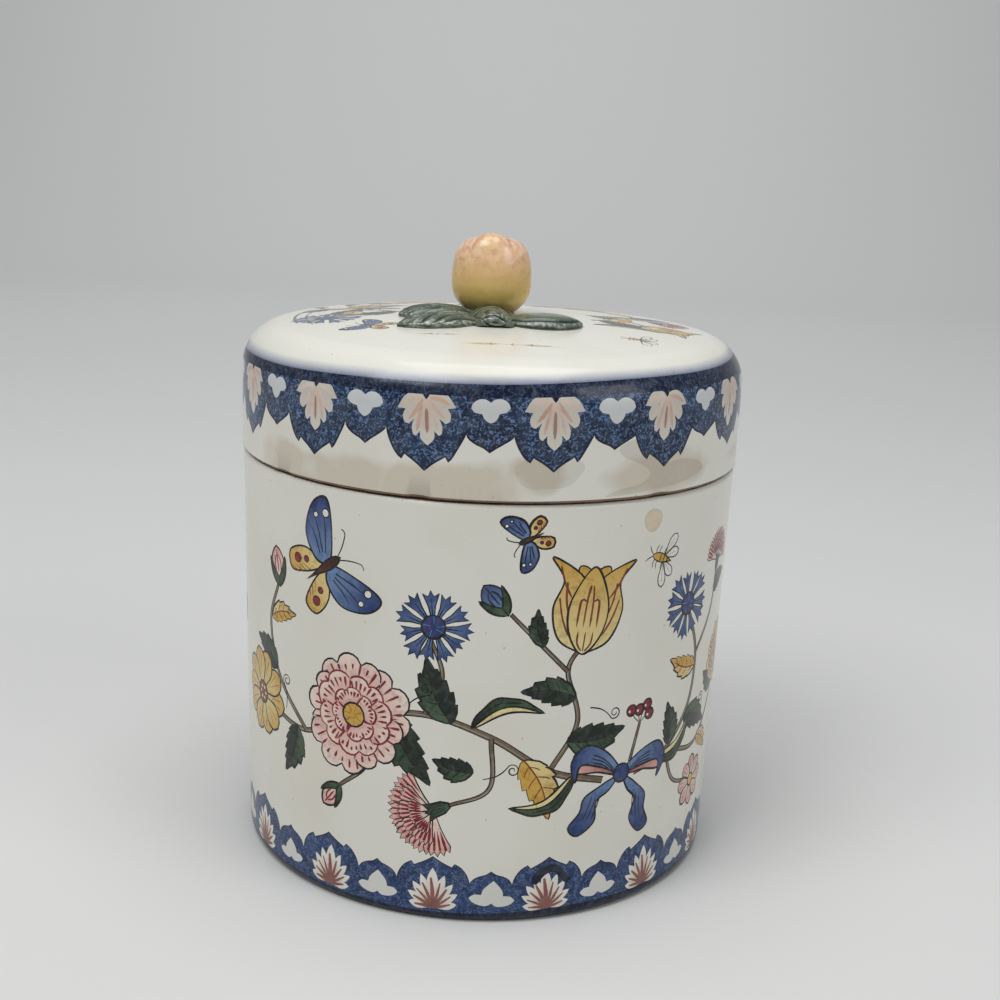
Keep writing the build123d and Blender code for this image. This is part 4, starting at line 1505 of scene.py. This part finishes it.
class CANISTER_OT_jar(bpy.types.Operator):
    """Turn the jar, and paint its side"""

    bl_idname = "canister.jar"
    bl_label = "Jar"
    bl_options = {"REGISTER", "UNDO"}

    def execute(self, context):
        settings = context.scene.canister
        base, (line, ways), rest = jar_outlines(settings.jar)
        # The side counts as upright from where the foot's rounded edge ends
        upright = int(np.argmax(line.real > settings.jar.foot_radius / MM - 0.1))
        skin = Skin(line, ways, settings.jar.ledge_radius / MM, upright)
        start = -skin.across * JAR_SEAM / 360
        sheet = draw_wall(settings, skin, start)
        cells = [(0, 0.6, 1, 1), (0, 0.2, 1, 0.6)]
        side = painted_skin("jar_side", skin, sheet, start, settings.sides, cells, settings.pigments)
        plain_cells = [(0, 0, 0.25, 0.2), (0.25, 0, 0.5, 0.2), (0.5, 0.1, 1, 0.2), (0.5, 0, 1, 0.1)]
        foot = 0.5 * MM
        bm = join_turned(
            [side], [base, rest], start / skin.radius, settings.sides, plain_cells,
            bare=lambda middle, normal: middle.z < foot and normal.z < -0.5,
        )
        material = shared_material(painted_faience, "tin_glazed_earthenware_painted")
        finish_piece("painted_jar", bm, material, "jar", "jar")
        return {"FINISHED"}


def lid_outlines(lid):
    """The lid's outline in two parts, the inside and the painted outside, and the dome's edge and ball."""
    mm = in_millimetres(lid)
    ball = (mm.radius**2 + mm.dome_rise**2) / (2 * mm.dome_rise)
    under_rim = (mm.radius + mm.bore) / 2

    def shoulder(radius, ball_radius, bend):
        """Where the shoulder's arc is centred, and how far round it goes to meet the dome."""
        centre = radius - bend
        up = mm.top - ball + math.sqrt((ball_radius - bend) ** 2 - centre**2)
        return centre + 1j * up, math.degrees(math.atan2(up - mm.top + ball, centre))

    centre, reach = shoulder(mm.radius, ball, mm.shoulder)
    side, side_ways = rounded([
        (under_rim, mm.rim, 0),
        (mm.radius, mm.rim, 0.8),
        (mm.radius, centre.imag, 0),
    ])
    bend, bend_ways = arc(centre, mm.shoulder, 0, reach, 3.0)
    outside = np.concatenate([side[:-1], bend]), np.concatenate([side_ways[:-1], bend_ways])
    inner_ball = ball - mm.top_wall
    inner_shoulder = mm.shoulder - (mm.radius - mm.bore)
    inner_centre, inner_reach = shoulder(mm.bore, inner_ball, inner_shoulder)
    inner_bend, _ = arc(inner_centre, inner_shoulder, inner_reach, 0)
    ceiling = np.linspace(0, inner_bend[0].real, 16)
    ceiling = ceiling + 1j * (mm.top - ball + np.sqrt(inner_ball**2 - ceiling**2))
    rim, _ = rounded([(mm.bore, inner_centre.imag, 0), (mm.bore, mm.rim, 0.8), (under_rim, mm.rim, 0)])
    inside_line = np.concatenate([ceiling[:-1], inner_bend[:-1], rim])
    return inside_line, outside, bend[-1].real, ball


class CANISTER_OT_lid(bpy.types.Operator):
    """Turn the lid, paint its side and its top, and chip its rim"""

    bl_idname = "canister.lid"
    bl_label = "Lid"
    bl_options = {"REGISTER", "UNDO"}

    def execute(self, context):
        settings = context.scene.canister
        inside_line, (line, ways), dome_edge, ball = lid_outlines(settings.lid)
        radius = settings.lid.radius / MM
        upright = int(np.argmax(line.real > radius - 1e-6))
        skin = Skin(line, ways, radius, upright, bite_edge=settings.lid.rim / MM + 0.25)
        start = -skin.across * LID_SEAM / 360
        cells = [(0.5, 0.75, 1, 1), (0.5, 0.5, 1, 0.75), (0.5, 0.25, 1, 0.5), (0.5, 0, 1, 0.25)]
        side = painted_skin(
            "lid_side", skin, draw_lid_side(settings, skin, start), start, settings.sides, cells,
            settings.pigments, RIM_BITES,
        )
        top = painted_disc(
            "lid_top", dome_edge, settings.lid.top / MM, ball, draw_lid_top(), settings.sides,
            start / radius, (0, 0.5, 0.5, 1), settings.pigments,
        )
        plain_cells = [(0, 0.25, 0.25, 0.5), (0.25, 0.25, 0.5, 0.5), (0, 0, 0.5, 0.1), (0, 0.1, 0.5, 0.25)]
        rim = settings.lid.rim + 0.3 * MM
        bm = join_turned(
            [side, top], [inside_line], start / radius, settings.sides, plain_cells,
            bare=lambda middle, normal: middle.z < rim and normal.z < -0.5,
        )
        material = shared_material(painted_faience, "tin_glazed_earthenware_painted")
        finish_piece("painted_lid", bm, material, "lid", "lid")
        return {"FINISHED"}


# Millimetres that a moulded piece sinks into the lid and stays under its full height
SUNK = 0.05


def smoothstep(low, high, value):
    share = np.clip((value - low) / (high - low), 0, 1)
    return share * share * (3 - 2 * share)


def set_relief(bm, groove, ridge):
    """Keep on the points how dark they are, from grooves and painted shade, and how pale, from ridges and
    painted highlights.
    """
    layer = bm.verts.layers.float_color.new("relief")
    for vert, a, b in zip(bm.verts, groove, ridge):
        vert[layer] = (float(a), float(b), 0.0, 1.0)


def ball_places(bm):
    """Shares round and up a sphere, from 0 to 1, for its points."""
    spots = np.array([v.co[:] for v in bm.verts])
    spots /= np.linalg.norm(spots, axis=1)[:, None]
    return np.arctan2(spots[:, 1], spots[:, 0]), np.arccos(np.clip(-spots[:, 2], -1, 1)) / np.pi


def move_points(bm, places):
    for vert, place in zip(bm.verts, places * MM):
        vert.co = place


class CANISTER_OT_fruit(bpy.types.Operator):
    """Model the fruit that the lid is lifted by"""

    bl_idname = "canister.fruit"
    bl_label = "Fruit"
    bl_options = {"REGISTER", "UNDO"}

    def execute(self, context):
        settings = context.scene.canister
        radius = settings.knob.fruit_radius / MM
        left_low, right_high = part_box("fruit_knob")
        low, high = left_low.z / MM, right_high.z / MM
        middle = (left_low.x + right_high.x) / 2 / MM
        bm = bmesh.new()
        bmesh.ops.create_uvsphere(bm, u_segments=128, v_segments=96, radius=1)
        turn, up = ball_places(bm)
        # Outline from the seat up over the shoulder and down into the hollow, across and up
        outline = smooth_line([
            0.0 + 1j * low, 6.3 + 1j * low, 9.9 + 176.4j, 12.0 + 179.4j, radius + 183.4j,
            radius - 0.1 + 187.4j, 12.1 + 191.8j, 10.6 + 195.0j, 8.0 + 197.2j, 5.4 + 197.8j,
            3.2 + 196.9j, 1.2 + 195.5j, 0.0 + 195.0j,
        ], 0.3)
        outline[0] = 1j * low
        steps = np.concatenate([[0], np.cumsum(abs(np.diff(outline)))])
        spot = np.interp(up * steps[-1], steps, outline)
        across, height = np.minimum(np.maximum(spot.real, 0), radius), spot.imag
        on_top = smoothstep(192.5, 197.5, height)
        groove = np.zeros_like(turn)
        for k in range(5):
            off = np.angle(np.exp(1j * (turn - np.radians(-90 + 36 + 72 * k))))
            wide = np.radians(5 + 1.5 * np.sin(2.4 * k)) * 8 / np.maximum(across, 3)
            groove = np.maximum(groove, np.exp(-((off / wide) ** 2)))
        from_front = np.angle(np.exp(1j * (turn + np.radians(93)))) / np.radians(43)
        front = np.exp(-(abs(from_front) ** 2.8))
        deep = groove * on_top
        bulge = np.exp(-(((height - 195.6) / 2.2) ** 2)) * front
        across = across - 0.35 * deep * np.clip(across / 8, 0, 1) + 0.4 * bulge * smoothstep(4.0, 9.0, across)
        brow = front * smoothstep(193.0, 197.0, height)
        height = height - 0.6 * deep + 1.95 * brow * smoothstep(0.5, 7.4, across)
        x, y = middle + across * np.cos(turn), across * np.sin(turn)
        move_points(bm, np.stack([x, y, np.clip(height, low, high)], 1))
        # Darker at the top hollow and in the grooves, partly glaze pooled there and partly painted shade, and
        # painted shade round the foot where the fruit sits on the lid
        hollow = smoothstep(4.2, 1.5, across) * (height > 190)
        seat = smoothstep(low + 5.0, low + 3.2, height)
        set_relief(bm, np.clip(0.75 * deep + hollow + 0.3 * seat, 0, 1), np.zeros_like(deep))
        bmesh.ops.recalc_face_normals(bm, faces=bm.faces)
        material = shared_material(fruit_glaze, "lead_glazed_fruit_dabbed", low * MM, high * MM)
        finish_piece("moulded_fruit", bm, material, "lid", "fruit_knob")
        return {"FINISHED"}


def dome_height(lid, across):
    """Height of the lid's top at distances from the axis, in millimetres."""
    radius, rise, top = lid.radius / MM, lid.dome_rise / MM, lid.top / MM
    ball = (radius**2 + rise**2) / (2 * rise)
    return top - ball + np.sqrt(ball**2 - across**2)


class CANISTER_OT_twig(bpy.types.Operator):
    """Model the cut twig that runs out from under the fruit"""

    bl_idname = "canister.twig"
    bl_label = "Twig"
    bl_options = {"REGISTER", "UNDO"}

    def execute(self, context):
        settings = context.scene.canister
        low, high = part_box("twig")
        front, back = low.y / MM, high.y / MM
        crest = high.z / MM
        bm = bmesh.new()
        bmesh.ops.create_uvsphere(bm, u_segments=112, v_segments=140, radius=1)
        turn, up = ball_places(bm)
        # Shares along the twig: its rounded cut end, its back, and the end under the fruit
        face = 0.3
        on_face = up < face
        along = np.clip((up - face) / (0.97 - face), 0, 1)
        shrink = np.clip(up / face, 0, 1) * np.clip((1 - up) / 0.03, 0, 1)
        half = 6.0 + 3.2 * along**1.3
        side = np.sign(np.cos(turn)) * abs(np.cos(turn)) ** 0.85
        lift = np.maximum(np.sin(turn), 0) ** 0.95
        x = side * half
        y = front + 2.2 * shrink**4 * on_face + (2.2 + (back - front - 2.2) * along) * (up >= face)
        sweep = x + 1.5 * np.sin(0.28 * y + 0.6)
        around_eye = np.hypot(sweep, 0.42 * (y - front) - 1.0)
        folds = smoothstep(0.3, 0.06, abs((around_eye / 2.6 + 0.15) % 1 - 0.5))
        folds = folds * smoothstep(1.0, 0.75, abs(x) / half)
        folds = folds * smoothstep(0.0, 0.1, along)
        ground = dome_height(settings.lid, np.hypot(x, y)) - SUNK
        peak = crest - 0.1 - 0.4 * folds - x**2 / 26
        z = np.where(np.sin(turn) < 0, ground, ground + (peak - ground) * lift)
        # On the cut end, folds of bark lie round an almond-shaped eye, its middle at this height
        eye = 174.9
        x = -1.6 * along + x * shrink
        z = eye * (1 - shrink) + z * shrink
        slant = z - eye + 0.14 * x
        almond = abs(slant) / np.maximum(1.6 * (1 - (x / 3.8) ** 2), 0.05)
        ring = np.exp(-(((almond - 1) / 0.28) ** 2)) * on_face * (abs(x) < 3.8)
        fold = np.exp(-(((almond - 1.75) / 0.16) ** 2)) * on_face * (slant > 0) * (abs(x) < 3.4)
        core = np.exp(-((((x - 0.3) / 1.3) ** 2 + ((slant + 0.1) / 0.3) ** 2) ** 2)) * on_face
        y = y + 0.55 * ring + 0.3 * core + 0.35 * fold
        ground = dome_height(settings.lid, np.hypot(x, y)) - SUNK
        move_points(bm, np.stack([x, y, np.maximum(z, ground)], 1))
        # Painted shade where the twig meets the lid; darker in the folds and round the eye, partly glaze
        # pooled there and partly painted shade
        foot = smoothstep(0.3, 0.05, lift) * (np.sin(turn) > 0) * ~on_face
        dark = np.clip(ring + 0.8 * core + 0.8 * fold + foot + 0.9 * smoothstep(0.5, 1.0, folds), 0, 1)
        worn_eye = (0.45 < almond) * (almond < 0.75) * on_face
        # A painted highlight on the twig's upper side between the folds, and a pale ring inside the eye
        pale = 0.5 * smoothstep(0.35, 0.05, folds) * lift + 0.8 * worn_eye
        set_relief(bm, dark, np.clip(pale, 0, 1))
        bmesh.ops.recalc_face_normals(bm, faces=bm.faces)
        material = shared_material(leaf_glaze, "lead_glazed_leaves_moulded")
        finish_piece("moulded_twig", bm, material, "lid", "twig")
        return {"FINISHED"}


def through(a, b, c, shares):
    """Points on the arc from a through b to c, complex numbers."""
    pull = (c - a) / (b - a)
    centre = (b - a) * (pull - abs(pull) ** 2) / (pull - pull.conjugate()) + a
    first = a - centre
    sweep = np.angle((c - centre) / first)
    if np.angle((b - centre) / first) * sweep < 0:
        sweep -= np.sign(sweep) * 2 * np.pi
    return centre + first * np.exp(1j * sweep * shares)


# Leaves: the root, a point on the front edge, the tip and a point on the back edge, seen from above.
# The last one is a smooth boat shape with lines round its edge, and the others have swept veins.
LEAVES = {
    "leaf_left_front": (-3 - 24j, -16 - 36.5j, -29.5 - 33j, -18 - 19.5j),
    "leaf_left_rear": (-5 - 9j, -17 - 21j, -30.6 - 11j, -19 - 0.5j),
    "leaf_right": (3 - 25j, 14 - 32j, 27.4 - 20j, 17 - 10.5j),
}


def swept_veins(share, off, long):
    """How deep and how raised a leaf is where veins sweep from its rib out to its edge."""
    wave = 0.8 * np.sin(9 * share + 1.5)
    off = off + wave * smoothstep(0.0, 0.2, share)
    rib = np.exp(-((off / 0.7) ** 2))
    phase = (share * long - 2.4 * abs(off) + 1.2 * np.sin(0.8 * off)) / 7.0 + 0.3 * (off > 0)
    line = abs((phase % 1) - 0.5)
    vein = smoothstep(0.2, 0.06, line) * smoothstep(0.5, 1.6, abs(off)) * smoothstep(0.1, 0.5, share + 0.15)
    ridge = smoothstep(0.25, 0.5, line)
    return np.maximum(rib, vein), ridge


def edge_lines(share, off, long, wide):
    """How deep and how raised a leaf is where lines follow its edge."""
    from_edge = np.minimum(wide - abs(off), 0.84 * long * np.minimum(share, 1 - share))
    from_edge = from_edge + 0.35 * np.sin(11 * share)
    rim = smoothstep(0.8, 0.3, abs(from_edge - 2.0))
    behind = smoothstep(-1.0, 1.0, off) * smoothstep(0.2, 0.5, share)
    inner = smoothstep(0.75, 0.25, abs(from_edge - 3.9)) * behind
    core = smoothstep(0.75, 0.25, abs(from_edge - 5.9)) * behind
    return np.clip(rim + 0.9 * inner + 0.7 * core, 0, 1), smoothstep(5.0, 6.5, from_edge)


class CANISTER_OT_leaves(bpy.types.Operator):
    """Model the three leaves that lie on the lid"""

    bl_idname = "canister.leaves"
    bl_label = "Leaves"
    bl_options = {"REGISTER", "UNDO"}

    def execute(self, context):
        settings = context.scene.canister
        crest = settings.knob.leaf_crest / MM
        material = shared_material(leaf_glaze, "lead_glazed_leaves_moulded")
        for node, (root, front, tip, back) in LEAVES.items():
            boat = node == "leaf_right"
            bm = bmesh.new()
            bmesh.ops.create_grid(bm, x_segments=120, y_segments=72, size=0.5)
            kept = bmesh.ops.extrude_face_region(bm, geom=bm.faces[:], use_keep_orig=True)
            upper = {v for v in kept["geom"] if isinstance(v, bmesh.types.BMVert)}
            flat = np.array([v.co[:2] for v in bm.verts]) + 0.5
            on_top = np.array([v in upper for v in bm.verts])
            share = 0.01 + 0.98 * flat[:, 0]
            t = 2 * flat[:, 1] - 1
            near, far = through(root, front, tip, share), through(root, back, tip, share)
            if not boat:
                t = t * (1 - 0.05 * (0.5 + 0.5 * np.cos(2 * np.pi * 4 * (share - 0.06))) * abs(t))
            spot = near * (1 - t) / 2 + far * (1 + t) / 2
            wide = abs(far - near) / 2
            long = abs(tip - root)
            if boat:
                line, ridge = edge_lines(share, t * wide, long, wide)
            else:
                line, ridge = swept_veins(share, t * wide, long)
            inner = smoothstep(0.3, 1.4, (1 - abs(t)) * wide) * smoothstep(0.3, 2.0, (1 - share) * long)
            if not boat:
                line = line * inner
            middle = (root + tip) / 2
            ground = dome_height(settings.lid, abs(spot))
            top = dome_height(settings.lid, abs(middle)) + crest - abs(spot - middle) ** 2 / 84 - SUNK
            edge = np.clip((1 - abs(t)) * wide / (5.5 if boat else 6.0), 0, 1)
            ends = np.clip(np.minimum((share - 0.01) * long / 3.5, (0.99 - share) * long / 8.0), 0, 1)
            round_off = np.sqrt(1 - (1 - np.minimum(edge, ends)) ** 2)
            z = ground + (top - ground) * (0.18 + 0.82 * round_off)
            z = z - 0.5 * line * round_off - 0.35 * (1 - ridge) * inner * round_off * (not boat)
            z = np.where(on_top, z, ground - SUNK)
            move_points(bm, np.stack([spot.real, spot.imag, z], 1))
            under = smoothstep(0.22, 0.05, round_off) * 0.8
            dark = np.clip(line + under, 0, 1) * on_top
            # A painted highlight band along the leaf's sloping sides, and paler ridges where the glaze runs
            # thin
            band = smoothstep(0.72, 0.45, round_off) * smoothstep(0.15, 0.35, round_off)
            pale = np.where(on_top, 0.6 * band + 0.22 * ridge, 0.15)
            set_relief(bm, dark, np.clip(pale, 0, 1))
            bmesh.ops.recalc_face_normals(bm, faces=bm.faces)
            if bm.calc_volume(signed=True) < 0:
                bmesh.ops.reverse_faces(bm, faces=bm.faces)
            finish_piece("moulded_" + node, bm, material, "lid", node)
        return {"FINISHED"}


# Stage

# The camera that the photograph was taken with, as it was worked out: angles in radians
CAMERA_PLACE = Vector((0.0, -463.762, 225.709)) * MM
CAMERA_PITCH, CAMERA_YAW, CAMERA_ROLL = 0.241, 0.009, 0.043
CAMERA_LENS = 51.49
SENSOR = 36.0


def soft_light(name, place, target, size, watts):
    """A softbox that faces the target."""
    lamp = bpy.data.lights.new(name, "AREA")
    lamp.shape = "RECTANGLE"
    lamp.size, lamp.size_y = size
    lamp.energy = watts
    light = bpy.data.objects.new(name, lamp)
    light.location = place
    light.rotation_euler = (Vector(target) - Vector(place)).to_track_quat("-Z", "Y").to_euler()
    bpy.context.scene.collection.objects.link(light)


class CANISTER_OT_stage(bpy.types.Operator):
    """Set up the floor, the soft studio light and the camera"""

    bl_idname = "canister.stage"
    bl_label = "Stage"
    bl_options = {"REGISTER", "UNDO"}

    def execute(self, context):
        scene = context.scene
        # Paper that runs so many metres each way, and turns up behind in a wide curve
        reach, curve = 3.0, 1.2
        bm = bmesh.new()
        bmesh.ops.create_grid(bm, x_segments=1, y_segments=1, size=reach)
        back = [e for e in bm.edges if all(v.co.y > 0 for v in e.verts)]
        grown = bmesh.ops.extrude_edge_only(bm, edges=back)["geom"]
        upper = [v for v in grown if isinstance(v, bmesh.types.BMVert)]
        bmesh.ops.translate(bm, verts=upper, vec=(0, 0, reach))
        corner = [e for e in bm.edges if all(v.co.y > reach - 0.1 and v.co.z < 0.1 for v in e.verts)]
        bmesh.ops.bevel(
            bm, geom=corner, offset=curve, segments=24, profile=0.5, affect="EDGES", material=-1
        )
        mesh = bpy.data.meshes.new("studio_paper")
        bm.to_mesh(mesh)
        bm.free()
        mesh.shade_smooth()
        paper, _, shader, _ = new_material("studio_paper_matt")
        feed(shader, {"Base Color": opaque(srgb("#CFCFCD")), "Roughness": 0.9})
        mesh.materials.append(paper)
        floor = bpy.data.objects.new("studio_paper", mesh)
        scene.collection.objects.link(floor)

        aim = (0.0, 0.0, 0.09)
        soft_light("key_softbox", (-0.8, -0.8, 1.5), aim, (0.9, 0.9), 13.0)
        soft_light("fill_softbox", (1.2, -0.8, 0.9), aim, (0.8, 0.8), 5.0)
        soft_light("top_softbox", (0.0, -0.1, 1.6), aim, (1.2, 0.9), 12.0)
        soft_light("backdrop_softbox", (0.0, 1.4, 1.8), (0.0, 2.6, 0.9), (2.0, 0.6), 16.0)

        world = bpy.data.worlds.new("studio_air")
        world.use_nodes = True
        sky = world.node_tree.nodes["Background"]
        sky.inputs["Color"].default_value = (0.9, 0.95, 1.0, 1.0)
        sky.inputs["Strength"].default_value = 0.3
        scene.world = world

        view = bpy.data.cameras.new("camera")
        view.lens = CAMERA_LENS
        view.sensor_width = SENSOR
        ahead = Vector((
            math.sin(CAMERA_YAW) * math.cos(CAMERA_PITCH),
            math.cos(CAMERA_YAW) * math.cos(CAMERA_PITCH),
            -math.sin(CAMERA_PITCH),
        ))
        level = Vector((math.cos(CAMERA_YAW), -math.sin(CAMERA_YAW), 0.0))
        upward = level.cross(ahead)
        right = level * math.cos(CAMERA_ROLL) + upward * math.sin(CAMERA_ROLL)
        upward = upward * math.cos(CAMERA_ROLL) - level * math.sin(CAMERA_ROLL)
        camera = bpy.data.objects.new("camera", view)
        axes = Matrix((right, upward, -ahead)).transposed().to_4x4()
        camera.matrix_world = Matrix.Translation(CAMERA_PLACE) @ axes
        scene.collection.objects.link(camera)
        scene.camera = camera
        scene.view_settings.view_transform = "Standard"
        return {"FINISHED"}


# Panel and registration

class CANISTER_PT_panel(bpy.types.Panel):
    """Sizes, colours and steps of the canister"""

    bl_idname = "CANISTER_PT_panel"
    bl_label = "Faience canister"
    bl_space_type = "VIEW_3D"
    bl_region_type = "UI"
    bl_category = "Canister"

    def draw(self, context):
        settings = context.scene.canister
        layout = self.layout
        layout.prop(settings, "sides")
        layout.prop(settings, "border_repeats")
        for title in ("jar", "lid", "knob", "pigments", "glazes"):
            group = getattr(settings, title)
            box = layout.box()
            box.label(text=title.capitalize())
            for name in group.__annotations__:
                box.prop(group, name)
        for operator in OPERATORS:
            layout.operator(operator.bl_idname)


GROUPS = (JarSizes, LidSizes, KnobSizes, PigmentColours, GlazeColours, CanisterSettings)
OPERATORS = (
    CANISTER_OT_stage,
    CANISTER_OT_jar,
    CANISTER_OT_lid,
    CANISTER_OT_fruit,
    CANISTER_OT_twig,
    CANISTER_OT_leaves,
)


def register():
    for kind in (*GROUPS, *OPERATORS, CANISTER_PT_panel):
        bpy.utils.register_class(kind)
    bpy.types.Scene.canister = PointerProperty(type=CanisterSettings)


def unregister():
    del bpy.types.Scene.canister
    for kind in (CANISTER_PT_panel, *reversed(OPERATORS), *reversed(GROUPS)):
        bpy.utils.unregister_class(kind)


def main():
    register()
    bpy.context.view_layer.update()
    bpy.ops.canister.stage()
    bpy.ops.canister.jar()
    bpy.ops.canister.lid()
    bpy.ops.canister.fruit()
    bpy.ops.canister.twig()
    bpy.ops.canister.leaves()


if __name__ == "__main__":
    main()
